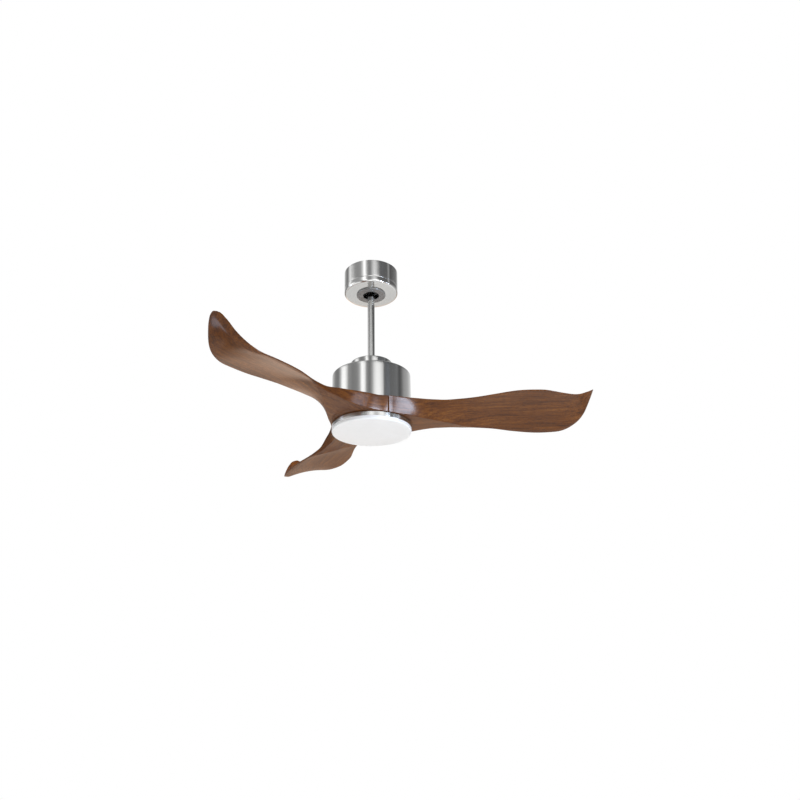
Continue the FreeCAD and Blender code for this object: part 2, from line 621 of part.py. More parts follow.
def control_board():
    """Ring-shaped motor control board on three arms, with its capacitors, coils and driver."""
    tube("driver_board", "boardInner", "boardOuter", BOARD_BOTTOM, BOARD_TOP)
    arm_inner = "bracketRadius - standoffRadius"
    plate("board_standoffs", [
        (arm_inner, "-standoffRadius"), ("standoffCircle + standoffRadius", "-standoffRadius"),
        ("standoffCircle + standoffRadius", "standoffRadius"), (arm_inner, "standoffRadius")],
        BOARD_TOP, "boardDrop", "standoffCount").Placement = turn_z(value("standoffTurn"))
    corners = [("capacitorCircle", f"{BOARD_BOTTOM} - capacitorHeight"),
               ("capacitorCircle + capacitorRadius", f"{BOARD_BOTTOM} - capacitorHeight"),
               ("capacitorCircle + capacitorRadius", BOARD_BOTTOM),
               ("capacitorCircle", BOARD_BOTTOM)]
    turned("capacitors", corners, spine="capacitorCircle",
           count="capacitorCount").Placement = turn_z(value("capacitorTurn"))
    plate("led_driver", rectangle("driverLength", "driverWidth", y="driverOffset"),
          f"{BOARD_BOTTOM} - driverHeight", "driverHeight")


def turn_z(degrees):
    return Placement(Vector(), Rotation(Vector(0, 0, 1), degrees))


# ---- motor ----

def motor_shaft():
    """Hollow fixed shaft from the coupling to the light; the rotor turns on it."""
    tube("motor_shaft", "shaftBore", "shaftRadius", f"{PAN_FLOOR} - lightNutHeight", "-rodBottom")
    tops = (UPPER_BEARING, LOWER_BEARING)
    for label, inner, outer in (("bearing_inner_races", "shaftRadius", RACE_INNER),
                                ("bearing_outer_races", RACE_OUTER, BEARING_SEAT)):
        body = body_for(label)
        for top in tops:
            low = f"{top} - bearingHeight"
            add_turned(body, [(inner, low), (outer, low), (outer, top), (inner, top)])
    rollers = []
    for race, top in enumerate(tops):
        for index in range(SIZES["bearingBallCount"]):
            item = ball(f"Roller{race}x{index}", "bearingBallRadius", f"{top} - bearingHeight/2")
            angle = f"{index}*360/bearingBallCount"
            bind(item, Placement__Base__x=f"{BALL_CIRCLE}*cos({angle})",
                 Placement__Base__y=f"{BALL_CIRCLE}*sin({angle})")
            rollers.append(item)
    keep("bearing_balls", group("BearingBalls", *rollers))
    clip_top = f"({LOWER_BEARING} - bearingHeight - circlipGap)"
    tube("shaft_circlip", "shaftRadius", "shaftRadius + circlipWidth",
         f"{clip_top} - circlipThickness", clip_top)


def stator():
    """Laminated twelve-tooth core on the shaft and a coil on each tooth."""
    stack_low = f"({MOTOR_BOTTOM} + stackInset)"
    stack_high = f"({MOTOR_TOP} - stackInset)"
    core = tube("stator_core", "shaftRadius", CORE_RADIUS, stack_low, stack_high)
    half_step = "180/toothCount"
    edge = f"toothWidth/2/cos({half_step})"
    throat = f"({CORE_RADIUS} - toothShoe)"
    near, far = f"(coreHubRadius*tan({half_step}) - {edge})", f"({throat}*tan({half_step}) - {edge})"
    slot = core.newObject("PartDesign::Pocket", "WindingSlot")
    slot.Profile = outline(core, "XY_Plane", [
        ("coreHubRadius", f"-{near}"), (throat, f"-{far}"), (throat, "-slotMouth/2"),
        ("motorRadius", "-slotMouth/2"), ("motorRadius", "slotMouth/2"), (throat, "slotMouth/2"),
        (throat, far), ("coreHubRadius", near)], height=stack_low)
    slot.Reversed = True
    bind(slot, Length="motorHeight - 2*stackInset")
    polar(core, slot, "toothCount")
    coil_low, coil_high = f"({stack_low} - coilOverhang)", f"({stack_high} + coilOverhang)"
    coils = body_for("stator_windings")
    wound = coils.newObject("PartDesign::Pad", "CoilPad")
    middle = "(coilInner + coilOuter)/2"
    wound.Profile = outline(coils, "YZ_Plane", [
        ("-coilWidth/2", coil_low), ("coilWidth/2", coil_low), ("coilWidth/2", coil_high),
        ("-coilWidth/2", coil_high)], height="coilInner")
    bind(wound, Length="coilOuter - coilInner")
    tooth = coils.newObject("PartDesign::Pocket", "ToothWay")
    tooth.Profile = outline(coils, "YZ_Plane", [
        ("-toothWidth/2", stack_low), ("toothWidth/2", stack_low), ("toothWidth/2", stack_high),
        ("-toothWidth/2", stack_high)], height="coilInner")
    tooth.Reversed = True
    bind(tooth, Length="coilOuter - coilInner")
    both = polar(coils, wound, "toothCount")
    both.Originals = [wound, tooth]
    coils.Placement = turn_z(value(half_step))


def rotor():
    """Two die-cast covers around the stator, with the steel yoke ring and its magnets."""
    high, low = MOTOR_TOP, MOTOR_BOTTOM
    seat_outer = f"({BEARING_SEAT} + bearingSeatWall)"
    for label, face, sign in (("upper_rotor_cover", high, "-"), ("lower_rotor_cover", low, "+")):
        inside = f"({face} {sign} coverThickness)"
        seat_end = f"({face} {sign} coverThickness {sign} bearingHeight)"
        turned(label, [
            (COVER_BORE, face), ("motorRadius", face), ("motorRadius", MOTOR_SPLIT),
            (SKIRT_INNER, MOTOR_SPLIT), (SKIRT_INNER, inside), (seat_outer, inside),
            (seat_outer, seat_end), (BEARING_SEAT, seat_end), (BEARING_SEAT, inside),
            (COVER_BORE, inside)])
    tube("rotor_yoke", MAGNET_OUTER, SKIRT_INNER, f"{low} + yokeInset", f"{high} - yokeInset")
    magnets = body_for("rotor_magnets")
    section = outline(magnets, "XZ_Plane", [
        (MAGNET_INNER, f"{low} + magnetInset"), (MAGNET_OUTER, f"{low} + magnetInset"),
        (MAGNET_OUTER, f"{high} - magnetInset"), (MAGNET_INNER, f"{high} - magnetInset")])
    arc = magnets.newObject("PartDesign::Revolution", "MagnetArc")
    arc.Profile = section
    arc.ReferenceAxis = (section, ["V_Axis"])
    bind(arc, Angle="magnetSpread")
    polar(magnets, arc, "magnetCount")


def hub_plate():
    """Disc under the rotor that carries the blades, with its screws."""
    disc = tube("hub_plate", "hubPlateBore", "hubPlateRadius", HUB_TOP, MOTOR_BOTTOM)
    drilled(disc, "rotorScrewCircle", "screwRadius", HUB_TOP, "hubPlateThickness",
            "rotorScrewCount")
    cover = pieces["lower_rotor_cover"]
    drilled(cover, "rotorScrewCircle", "screwRadius", MOTOR_BOTTOM, "coverThickness",
            "rotorScrewCount")
    screws("rotor_screws", "rotorScrewCircle", HUB_TOP, "(hubPlateThickness + coverThickness)",
           "rotorScrewCount")


def blade_screw_places():
    """Angles and radius of the blade screws, measured from the blade's own axis."""
    middle = value("seamAngle") - 180 / value("bladeCount")
    return [middle + step * value("bladeScrewSpread") for step in (-1, 0, 1)]


# Each station of a blade, from the hub outwards. Reach is its share of the way from the blade's
# root, just inside the housing's radius, to its tip.
# Lead and trail are shares of the widest chord to the clockwise and the other side. Then come
# the height of the leading edge, and at the trailing side the crease, the lower edge and the
# upper edge, all in mm above the hub's underside.
STATIONS = (
    # reach, lead, crease, trail, lead height, crease height, lower height, upper height, cup
    (0.0000, -0.400, -0.360, 0.370, 40, 0, 0, 40, 0.0),
    (0.0648, -0.378, -0.270, 0.309, 44, -1, 2, 37, 0.0),
    (0.1330, -0.362, -0.120, 0.269, 45, -1, 3, 32, 0.1),
    (0.2109, -0.368, 0.000, 0.250, 45, -1, 2, 26, 0.3),
    (0.3010, -0.394, 0.130, 0.248, 45, -2, 1, 15, 0.5),
    (0.4545, -0.472, 0.260, 0.305, 46, 0, 0, 3, 0.8),
    (0.5738, -0.555, 0.330, 0.385, 47, -3, -5, -2, 1.0),
    (0.6980, -0.595, 0.350, 0.410, 43, -8, -10, -7, 1.0),
    (0.8064, -0.530, 0.325, 0.387, 42, -8, -11, -8, 1.0),
    (0.8965, -0.395, 0.220, 0.288, 45, 7, 4, 7, 0.7),
    (0.9574, -0.230, 0.095, 0.165, 69, 38, 34, 37, 0.4),
    (0.9878, -0.125, 0.010, 0.055, 80, 68, 66, 69, 0.2),
    (1.0000, -0.060, -0.030, -0.005, 86, 84, 83, 86, 0.0),
)


def blade_section(station):
    """One closed outline across the blade: lead, cupped underside, crease, trailing wall and
    the crowned top."""
    reach, lead, crease, trail, lead_z, crease_z, lower_z, upper_z, cup = station
    chord, base, edge = value("bladeChord"), value(HUB_BOTTOM), value("bladeEdge")
    root = value(ROOT_REACH)
    x = root + reach * (value("bladeRadius") - root)
    start, end = Vector(x, lead * chord, base + lead_z), Vector(x, crease * chord, base + crease_z)
    lower = Vector(x, trail * chord, base + lower_z)
    upper = Vector(x, trail * chord, base + upper_z)
    lift = Vector(0, 0, cup * value("bladeCup"))
    under = [start + (end - start) * share + lift * bow for share, bow in
             ((0.0, 0), (0.25, 0.75), (0.5, 1), (0.75, 0.75), (1.0, 0))]
    root_depth = max(0.0, upper_z - lower_z - edge) / value("hubHeight")
    start_top = start + Vector(0, 0, edge * (1 - min(1, root_depth)))
    runout = min(1, (1 - reach) / value("crownRunout"))
    crown = (value("bladeThickness") - edge) * (1 - min(1, root_depth)) * runout
    over = [upper + (start_top - upper) * share + lift * bow + Vector(0, 0, crown * bow)
            for share, bow in ((0.0, 0), (0.25, 0.75), (0.5, 1), (0.75, 0.75), (1.0, 0))]
    if root_depth > 0.95:
        over.pop()
        under.insert(0, start_top)
    corners = under + [lower] + over
    return Part.makePolygon(corners + corners[:1])


def root_block():
    """The blade's share of the hub ring: a third of a ring whose leaning outer wall runs from
    seam to seam and swells into the blade."""
    inner, top_seam, shoulder = value("hubInner"), value(SEAM_RADIUS), value(ROOT_REACH)
    end = math.radians(value("seamAngle"))
    start = end - 2 * math.pi / value("bladeCount")
    _, lead, crease, trail = STATIONS[0][:4]

    def third(height, seam, near_share):
        def at(radius, angle):
            return Vector(radius * math.cos(angle), radius * math.sin(angle), height)

        bore = Part.Arc(at(inner, end), at(inner, (start + end) / 2), at(inner, start))
        near = Vector(shoulder, near_share * value("bladeChord"), height)
        far = Vector(shoulder, trail * value("bladeChord"), height)
        corners = [at(inner, start), at(seam, start), near, far, at(seam, end), at(inner, end)]
        walls = [Part.makeLine(here, there) for here, there in zip(corners, corners[1:])]
        return Part.Wire([bore.toShape()] + walls)

    low = third(value(HUB_BOTTOM), top_seam - value("hubLean"), crease)
    return Part.makeLoft([low, third(value(HUB_TOP), top_seam, lead)], True, True)


def blade_shape():
    loft = Part.makeLoft([blade_section(station) for station in STATIONS], True, True)
    solid = loft.fuse(root_block()).removeSplitter()
    low, seat = value(HUB_BOTTOM), value(HUB_TOP) - value("bladeScrewSeat")
    for degrees in blade_screw_places():
        angle = math.radians(degrees)
        spot = Vector(math.cos(angle), math.sin(angle), 0) * value("bladeScrewCircle")
        shank = Part.makeCylinder(value("bladeScrewRadius"), 2 * value("hubHeight"),
                                  spot + Vector(0, 0, low))
        head = Part.makeCylinder(value("bladeScrewHeadRadius"), seat - low,
                                 spot + Vector(0, 0, low))
        solid = solid.cut(shank.fuse(head))
    return solid


def blades():
    shape = blade_shape()
    step = 360 / value("bladeCount")
    for index in range(SIZES["bladeCount"]):
        blade = doc.addObject("Part::Feature", f"Blade{index + 1}")
        blade.Shape = shape
        blade.Placement = turn_z(value("bladeAzimuth") + index * step)
        keep(f"blade_{index + 1}", blade)


def blade_screws():
    """Screws up through the blades' roots into the hub plate."""
    plate_body = pieces["hub_plate"]
    seat = f"({HUB_TOP} - bladeScrewSeat)"
    sets = []
    for index, degrees in enumerate(blade_screw_places()):
        turn = f"{degrees} + bladeAzimuth"
        drilled(plate_body, "bladeScrewCircle", "bladeScrewRadius", HUB_TOP,
                "hubPlateThickness", "bladeCount", turn)
        body = screws(f"blade_screw_set_{index + 1}", "bladeScrewCircle", seat,
                      "(bladeScrewSeat + hubPlateThickness)", "bladeCount",
                      "bladeScrewRadius", "bladeScrewHeadRadius", "bladeScrewHeadHeight")
        body.Placement = turn_z(value("bladeAzimuth") + degrees)
        pieces.pop(body.Label)
        sets.append(body)
    keep("blade_screws", group("BladeScrews", *sets))


# ---- light ----

def light_pan():
    """Support plate and nut on the shaft, and the shallow brushed pan below it."""
    support = tube("light_support", "shaftRadius", "supportRadius", PAN_TOP,
                   f"{PAN_TOP} + supportThickness")
    drilled(support, "panScrewCircle", "screwRadius", PAN_TOP, "supportThickness",
            "panScrewCount")
    hexagon = [(f"lightNutRadius*cos({turn})", f"lightNutRadius*sin({turn})")
               for turn in range(0, 360, 60)]
    nut = plate("light_nut", hexagon, f"{PAN_TOP} - lightNutHeight", "lightNutHeight")
    drilled(nut, "0", "shaftRadius", f"{PAN_TOP} - lightNutHeight", "lightNutHeight", "1")
    inner = "panRadius - panWall"
    pan = turned("light_pan", [
        ("panHole", PAN_FLOOR), ("panHole", PAN_TOP), ("panRadius", PAN_TOP),
        ("panRadius", PAN_BOTTOM), (inner, PAN_BOTTOM), (inner, PAN_FLOOR)])
    drilled(pan, "panScrewCircle", "screwRadius", PAN_FLOOR, "panWall", "panScrewCount")
    drilled(pan, "ledScrewCircle", "screwRadius", PAN_FLOOR, "panWall", "ledScrewCount",
            "ledScrewTurn")
    low = f"{PAN_BOTTOM} + tabRise"
    tab_corners = [(f"{inner} - tabReach", low), (f"{inner} + panWall/2", low),
                   (f"{inner} + panWall/2", f"{low} + tabThickness"),
                   (f"{inner} - tabReach", f"{low} + tabThickness")]
    sector(pan, tab_corners, "tabAngle", "lugCount")
    screws("pan_screws", "panScrewCircle", PAN_FLOOR, "(panWall + supportThickness)",
           "panScrewCount")


def sector(body, corners, angle, count):
    """Short arcs turned about Z through an angle, middled on the X axis, and repeated."""
    profile = outline(body, "XZ_Plane", corners)
    arc = body.newObject("PartDesign::Revolution", body.Name + "Arc")
    arc.Profile = profile
    arc.ReferenceAxis = (profile, ["V_Axis"])
    arc.Midplane = True
    bind(arc, Angle=angle)
    return polar(body, arc, count)


def led_board():
    """Aluminium-backed ring board against the pan, its light-emitting chips and its screws."""
    bottom = f"({PAN_FLOOR} - ledBoardThickness)"
    board = tube("led_board", "ledBoardInner", "ledBoardOuter", bottom, PAN_FLOOR)
    drilled(board, "ledScrewCircle", "screwRadius", bottom, "ledBoardThickness",
            "ledScrewCount", "ledScrewTurn")
    plate("leds", rectangle("ledWidth", "ledWidth", "ledCircle"), f"{bottom} - ledHeight",
          "ledHeight", "ledCount")
    screws("led_board_screws", "ledScrewCircle", bottom, "(ledBoardThickness + panWall)",
           "ledScrewCount").Placement = turn_z(value("ledScrewTurn"))
    low = f"{PAN_FLOOR} - lightNutHeight"
    plate("light_connector", rectangle("connectorLength", "connectorWidth"),
          f"{low} - connectorHeight", "connectorHeight")


def diffuser():
    """Opal lens with a flat face; three lugs on its collar lock over the pan's tabs."""
    rim = f"({PAN_BOTTOM} - twistGap)"
    bottom, inner = f"({rim} - diffuserHeight)", "diffuserRadius - diffuserWall"
    tab_top = f"({PAN_BOTTOM} + tabRise + tabThickness)"
    collar = "diffuserRadius - collarInset"
    collar_top = f"({tab_top} + twistGap + lugHeight)"
    lens = turned("diffuser", [
        ("0", bottom), ("diffuserRadius", bottom), ("diffuserRadius", rim), (collar, rim),
        (collar, collar_top), (f"{collar} - collarWall", collar_top),
        (f"{collar} - collarWall", f"{rim} - diffuserWall"), (inner, f"{rim} - diffuserWall"),
        (inner, f"{bottom} + diffuserWall"), ("0", f"{bottom} + diffuserWall")])
    rounded(lens, "diffuserRound", "diffuserRadius", bottom)
    rounded(lens, "diffuserRound - diffuserWall", inner, f"{bottom} + diffuserWall")
    sector(lens, [
        (f"{collar} - collarWall/2", f"{tab_top} + twistGap"),
        (f"{collar} + lugReach", f"{tab_top} + twistGap"), (f"{collar} + lugReach", collar_top),
        (f"{collar} - collarWall/2", collar_top)], "lugAngle", "lugCount")


for make in (hanger_bracket, canopy, canopy_ring, canopy_fixings, receiver, terminals, ball_liner,
             hanger_ball, downrod, supply_leads, motor_coupling, coupling_cover, motor_housing,
             control_board, motor_shaft, stator, rotor, hub_plate, blades, blade_screws,
             light_pan, led_board, diffuser):
    make()

doc.recompute()
failed = [item.Name for item in doc.Objects if {"Invalid", "Error"} & set(item.State)]
if failed:
    raise RuntimeError("these objects did not recompute: " + ", ".join(failed))
for label, piece in pieces.items():
    if piece.Shape.isNull() or not piece.Shape.isValid():
        raise RuntimeError(label + " has no valid shape")

os.makedirs("parts", exist_ok=True)
for label, piece in pieces.items():
    piece.Shape.exportStep(f"parts/{label}.step")
print(len(pieces), "pieces written")
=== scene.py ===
import bmesh
import bpy
import json
import math
import numpy as np
from mathutils import Matrix, Vector


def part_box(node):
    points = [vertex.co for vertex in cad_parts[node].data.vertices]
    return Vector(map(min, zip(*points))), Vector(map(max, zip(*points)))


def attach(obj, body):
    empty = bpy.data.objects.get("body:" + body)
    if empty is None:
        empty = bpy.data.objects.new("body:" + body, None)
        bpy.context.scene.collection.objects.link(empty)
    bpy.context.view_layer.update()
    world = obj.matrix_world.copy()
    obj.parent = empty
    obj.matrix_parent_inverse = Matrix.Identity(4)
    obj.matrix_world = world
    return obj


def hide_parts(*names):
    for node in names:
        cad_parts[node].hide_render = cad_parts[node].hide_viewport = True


# Ceiling fan with light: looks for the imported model. Metres, +Z up, the ceiling face is at z = 0.

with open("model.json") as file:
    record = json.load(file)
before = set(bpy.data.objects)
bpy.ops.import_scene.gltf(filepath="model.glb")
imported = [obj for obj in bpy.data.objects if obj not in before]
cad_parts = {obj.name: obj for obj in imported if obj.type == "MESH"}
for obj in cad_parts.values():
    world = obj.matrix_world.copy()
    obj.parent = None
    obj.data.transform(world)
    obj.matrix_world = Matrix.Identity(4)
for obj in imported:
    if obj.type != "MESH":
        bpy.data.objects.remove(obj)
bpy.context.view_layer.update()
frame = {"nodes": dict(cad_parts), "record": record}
cadNodes = frame["nodes"]
ceilingMount, hungFrame, rotor, lensBody = "ceiling_mount", "hung_frame", "rotor", "diffuser"
print("frame loaded:", len(cadNodes), "nodes")


def linear(hexColour):
    # sRGB hex to linear RGBA: values under the knee are divided by 12.92, the rest follow a 2.4 power.
    channels = np.array([int(hexColour[i:i + 2], 16) for i in (1, 3, 5)]) / 255
    curve = np.where(channels <= 0.04045, channels / 12.92, ((channels + 0.055) / 1.055) ** 2.4)
    return (*curve.tolist(), 1.0)


def addNode(tree, kind, settings=None, inputs=None, stops=()):
    # adds one node, sets its properties, links or fills its inputs, and gives a colour ramp its stops, each
    # a position with a hex colour or a plain grey
    node = tree.nodes.new(kind)
    for name, setting in (settings or {}).items():
        setattr(node, name, setting)
    for name, source in (inputs or {}).items():
        if isinstance(source, bpy.types.NodeSocket):
            tree.links.new(source, node.inputs[name])
        else:
            node.inputs[name].default_value = source
    if stops:
        elements = node.color_ramp.elements
        while len(elements) < len(stops):
            elements.new(0.5)
        for element, (position, colour) in zip(elements, stops):
            element.position = position
            element.color = linear(colour) if isinstance(colour, str) else (colour, colour, colour, 1)
    return node


def newMaterial(name, **surface):
    # A material with a Principled surface whose plain values are set on its own sockets.
    material = bpy.data.materials.new(name)
    material.use_nodes = True
    tree = material.node_tree
    shader = tree.nodes["Principled BSDF"]
    for socket, value in surface.items():
        shader.inputs[socket.replace("_", " ")].default_value = value
    return material, tree, shader


def gridMesh(name, points, closedAlong=False, uv=None, vectors=None):
    # A mesh from a grid of points (rows, columns, 3): each cell of the grid is one quad. Rows run along
    # the piece and columns run around it, where the last joins the first; rows may join up as well.
    rows, columns = points.shape[:2]
    r, c = np.meshgrid(np.arange(rows if closedAlong else rows - 1), np.arange(columns), indexing="ij")
    nextRow, nextColumn = (r + 1) % rows, (c + 1) % columns
    corners = np.stack([r * columns + c, r * columns + nextColumn,
                        nextRow * columns + nextColumn, nextRow * columns + c], -1).reshape(-1, 4)
    mesh = bpy.data.meshes.new(name)
    mesh.vertices.add(rows * columns)
    mesh.vertices.foreach_set("co", points.astype(np.float32).ravel())
    mesh.loops.add(corners.size)
    mesh.loops.foreach_set("vertex_index", corners.astype(np.int32).ravel())
    mesh.polygons.add(len(corners))
    mesh.polygons.foreach_set("loop_start", np.arange(0, corners.size, 4, dtype=np.int32))
    mesh.update(calc_edges=True)
    if uv is not None:
        step = np.stack([np.stack([r, c], -1), np.stack([r, c + 1], -1),
                         np.stack([r + 1, c + 1], -1), np.stack([r + 1, c], -1)], -2).reshape(-1, 2)
        layer = mesh.uv_layers.new(name="surface")
        layer.data.foreach_set("uv", uv(step[:, 0], step[:, 1]).astype(np.float32).ravel())
    if vectors is not None:
        attribute = mesh.attributes.new("grain", "FLOAT_VECTOR", "POINT")
        attribute.data.foreach_set("vector", vectors.astype(np.float32).ravel())
    return mesh


def finishPiece(mesh, name, material, body, replaced, sharpDegrees=32):
    # Merges doubles, points the faces outwards, marks sharp edges, and puts the piece on its body.
    mergeDistance = 1e-6
    work = bmesh.new()
    work.from_mesh(mesh)
    bmesh.ops.remove_doubles(work, verts=work.verts, dist=mergeDistance)
    bmesh.ops.dissolve_degenerate(work, dist=mergeDistance, edges=work.edges)
    bmesh.ops.recalc_face_normals(work, faces=work.faces)
    work.to_mesh(mesh)
    work.free()
    mesh.polygons.foreach_set("use_smooth", np.ones(len(mesh.polygons), bool))
    mesh.set_sharp_from_angle(angle=math.radians(sharpDegrees))
    piece = bpy.data.objects.new(name, mesh)
    bpy.context.scene.collection.objects.link(piece)
    mesh.materials.append(material)
    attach(piece, body)
    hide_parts(*replaced)
    return piece


def roundedProfile(corners):
    # A closed profile from (radius, height, rounding) corners. Each rounded corner becomes an arc that is
    # tangent to both its sides: its centre lies on their bisector, at rounding / sin(half the corner).
    points = np.array([corner[:2] for corner in corners], float)
    drawn = []
    for index, (_, _, rounding) in enumerate(corners):
        corner = points[index]
        before, after = points[index - 1] - corner, points[(index + 1) % len(points)] - corner
        before, after = before / np.linalg.norm(before), after / np.linalg.norm(after)
        half = math.acos(np.clip(before @ after, -1, 1)) / 2
        if rounding == 0:
            drawn.append(corner[None])
            continue
        reach = rounding / math.tan(half)
        bisector = (before + after) / np.linalg.norm(before + after)
        centre = corner + bisector * rounding / math.sin(half)
        start, end = corner + before * reach - centre, corner + after * reach - centre
        turn = math.atan2(start[0] * end[1] - start[1] * end[0], start @ end)
        steps = max(4, int(abs(turn) * 8))  # eight points for each radian of the arc
        angles = np.linspace(0, turn, steps)[:, None]
        cosine, sine = np.cos(angles), np.sin(angles)
        arc = np.hstack([start[0] * cosine - start[1] * sine, start[0] * sine + start[1] * cosine])
        drawn.append(centre + arc)
    return np.vstack(drawn)


def splitLong(profile, longest):
    # Divides the profile's long sides evenly, so that no quad is much longer than it is wide.
    closed = np.vstack([profile, profile[:1]])
    pieces = []
    for start, end in zip(closed[:-1], closed[1:]):
        count = max(1, int(np.ceil(np.linalg.norm(end - start) / longest)))
        share = np.arange(count)[:, None] / count
        pieces.append(start + (end - start) * share)
    return np.vstack(pieces)


def turnedMesh(name, corners, around=192, longest=0.008):
    # A surface of revolution: the point at profile length p and angle a is (radius(p) cos a, radius(p)
    # sin a, height(p)). Its map holds the arc length round the widest circle and the length along the
    # profile.
    profile = splitLong(roundedProfile(corners), longest)
    angle = np.linspace(0, 2 * math.pi, around, endpoint=False)
    radius, height = profile[:, 0][:, None], profile[:, 1][:, None]
    points = np.stack([radius * np.cos(angle), radius * np.sin(angle), height + 0 * angle], -1)
    closed = np.vstack([profile, profile[:1]])
    lengths = np.concatenate([[0], np.cumsum(np.linalg.norm(np.diff(closed, axis=0), axis=1))])
    widest = profile[:, 0].max()

    def uv(rowIndex, columnIndex):
        return np.stack([columnIndex / around * 2 * math.pi * widest, lengths[rowIndex]], -1)

    return gridMesh(name, points, closedAlong=True, uv=uv)


def brushedNickel(name, polishedFrom=None, polishedTo=None):
    # Brushed nickel plate on spun steel: fine rings of scratches round the axis, which smear every
    # reflection along the height while its sides stay crisp. Between the two heights it is polished. The
    # scratches are drawn about ten times coarser than real ones, so that they show.
    look = {"plating": "#CDCDCC", "roughness": (0.11, 0.17), "anisotropy": 0.9,
            "scratch": 0.00045, "scratchLength": 0.05, "bump": 0.03, "bumpHeight": 0.0002,
            "polish": 0.08, "polishedPlating": "#EFEFEE", "besidePolished": "#DEDEDD", "fade": 0.0006}
    material, tree, shader = newMaterial(name, Metallic=1.0, Base_Color=linear(look["plating"]),
                                         Anisotropic=look["anisotropy"], Anisotropic_Rotation=0.25)
    surface = addNode(tree, "ShaderNodeUVMap", {"uv_map": "surface"})
    stretch = addNode(tree, "ShaderNodeMapping", None, {
        "Vector": surface.outputs["UV"],
        "Scale": (1 / look["scratchLength"], 1 / look["scratch"], 1)})
    scratches = addNode(tree, "ShaderNodeTexNoise", None, {
        "Vector": stretch.outputs["Vector"], "Scale": 1.0, "Detail": 4.0, "Roughness": 0.6})
    rough = addNode(tree, "ShaderNodeMapRange", None, {
        "Value": scratches.outputs["Fac"], "From Min": 0.3, "From Max": 0.7,
        "To Min": look["roughness"][0], "To Max": look["roughness"][1]})
    finish = rough.outputs["Result"]
    if polishedTo is not None:
        place = addNode(tree, "ShaderNodeTexCoord")
        height = addNode(tree, "ShaderNodeSeparateXYZ", None, {"Vector": place.outputs["Object"]})
        above = addNode(tree, "ShaderNodeMapRange", None, {
            "Value": height.outputs["Z"], "From Min": polishedTo, "From Max": polishedTo + look["fade"]})
        below = addNode(tree, "ShaderNodeMapRange", None, {
            "Value": height.outputs["Z"], "From Min": polishedFrom - look["fade"],
            "From Max": polishedFrom, "To Min": 1.0, "To Max": 0.0})
        brushed = addNode(tree, "ShaderNodeMath", {"operation": "MAXIMUM"}, {
            0: above.outputs["Result"], 1: below.outputs["Result"]})
        blend = addNode(tree, "ShaderNodeMix", {"data_type": "FLOAT"}, {
            "Factor": brushed.outputs["Value"], "A": look["polish"], "B": finish})
        finish = blend.outputs["Result"]
        direction = addNode(tree, "ShaderNodeMath", {"operation": "MULTIPLY"}, {
            0: brushed.outputs["Value"], 1: look["anisotropy"]})
        tree.links.new(direction.outputs["Value"], shader.inputs["Anisotropic"])
        plating = addNode(tree, "ShaderNodeMix", {"data_type": "RGBA"}, {
            "Factor": brushed.outputs["Value"], "A": linear(look["polishedPlating"]),
            "B": linear(look["besidePolished"])})
        tree.links.new(plating.outputs["Result"], shader.inputs["Base Color"])
    tree.links.new(finish, shader.inputs["Roughness"])
    bump = addNode(tree, "ShaderNodeBump", None, {
        "Height": scratches.outputs["Fac"], "Strength": look["bump"], "Distance": look["bumpHeight"]})
    tree.links.new(bump.outputs["Normal"], shader.inputs["Normal"])
    tangent = addNode(tree, "ShaderNodeTangent", {"direction_type": "UV_MAP", "uv_map": "surface"})
    tree.links.new(tangent.outputs["Tangent"], shader.inputs["Tangent"])
    return material


def solidMetal(name, colour, roughness, grain, bump):
    # A metal part with an even, slightly mottled surface, such as a plated, cast or ground one: its
    # colour and its gloss drift a little between two values, over patches as wide as the grain.
    material, tree, shader = newMaterial(name, Metallic=1.0)
    place = addNode(tree, "ShaderNodeTexCoord")
    mottle = addNode(tree, "ShaderNodeTexNoise", None, {
        "Vector": place.outputs["Object"], "Scale": 1 / grain, "Detail": 4.0, "Roughness": 0.6})
    tint = addNode(tree, "ShaderNodeValToRGB", None, {"Fac": mottle.outputs["Fac"]},
                   stops=[(0.3, colour[0]), (0.7, colour[1])])
    tree.links.new(tint.outputs["Color"], shader.inputs["Base Color"])
    rough = addNode(tree, "ShaderNodeMapRange", None, {
        "Value": mottle.outputs["Fac"], "From Min": 0.3, "From Max": 0.7,
        "To Min": roughness[0], "To Max": roughness[1]})
    tree.links.new(rough.outputs["Result"], shader.inputs["Roughness"])
    relief = addNode(tree, "ShaderNodeBump", None, {
        "Height": mottle.outputs["Fac"], "Strength": bump, "Distance": 0.0003})
    tree.links.new(relief.outputs["Normal"], shader.inputs["Normal"])
    return material


def mouldedPlastic(name, colour, roughness, grain, bump, **surface):
    # A moulded part: one pigment with a faint cloud in it, and the fine texture of its mould.
    material, tree, shader = newMaterial(name, **surface)
    place = addNode(tree, "ShaderNodeTexCoord")
    texture = addNode(tree, "ShaderNodeTexNoise", None, {
        "Vector": place.outputs["Object"], "Scale": 1 / grain, "Detail": 3.0, "Roughness": 0.55})
    tint = addNode(tree, "ShaderNodeValToRGB", None, {"Fac": texture.outputs["Fac"]},
                   stops=[(0.25, colour[0]), (0.75, colour[1])])
    tree.links.new(tint.outputs["Color"], shader.inputs["Base Color"])
    rough = addNode(tree, "ShaderNodeMapRange", None, {
        "Value": texture.outputs["Fac"], "To Min": roughness[0], "To Max": roughness[1]})
    tree.links.new(rough.outputs["Result"], shader.inputs["Roughness"])
    relief = addNode(tree, "ShaderNodeBump", None, {
        "Height": texture.outputs["Fac"], "Strength": bump, "Distance": 0.0002})
    tree.links.new(relief.outputs["Normal"], shader.inputs["Normal"])
    return material


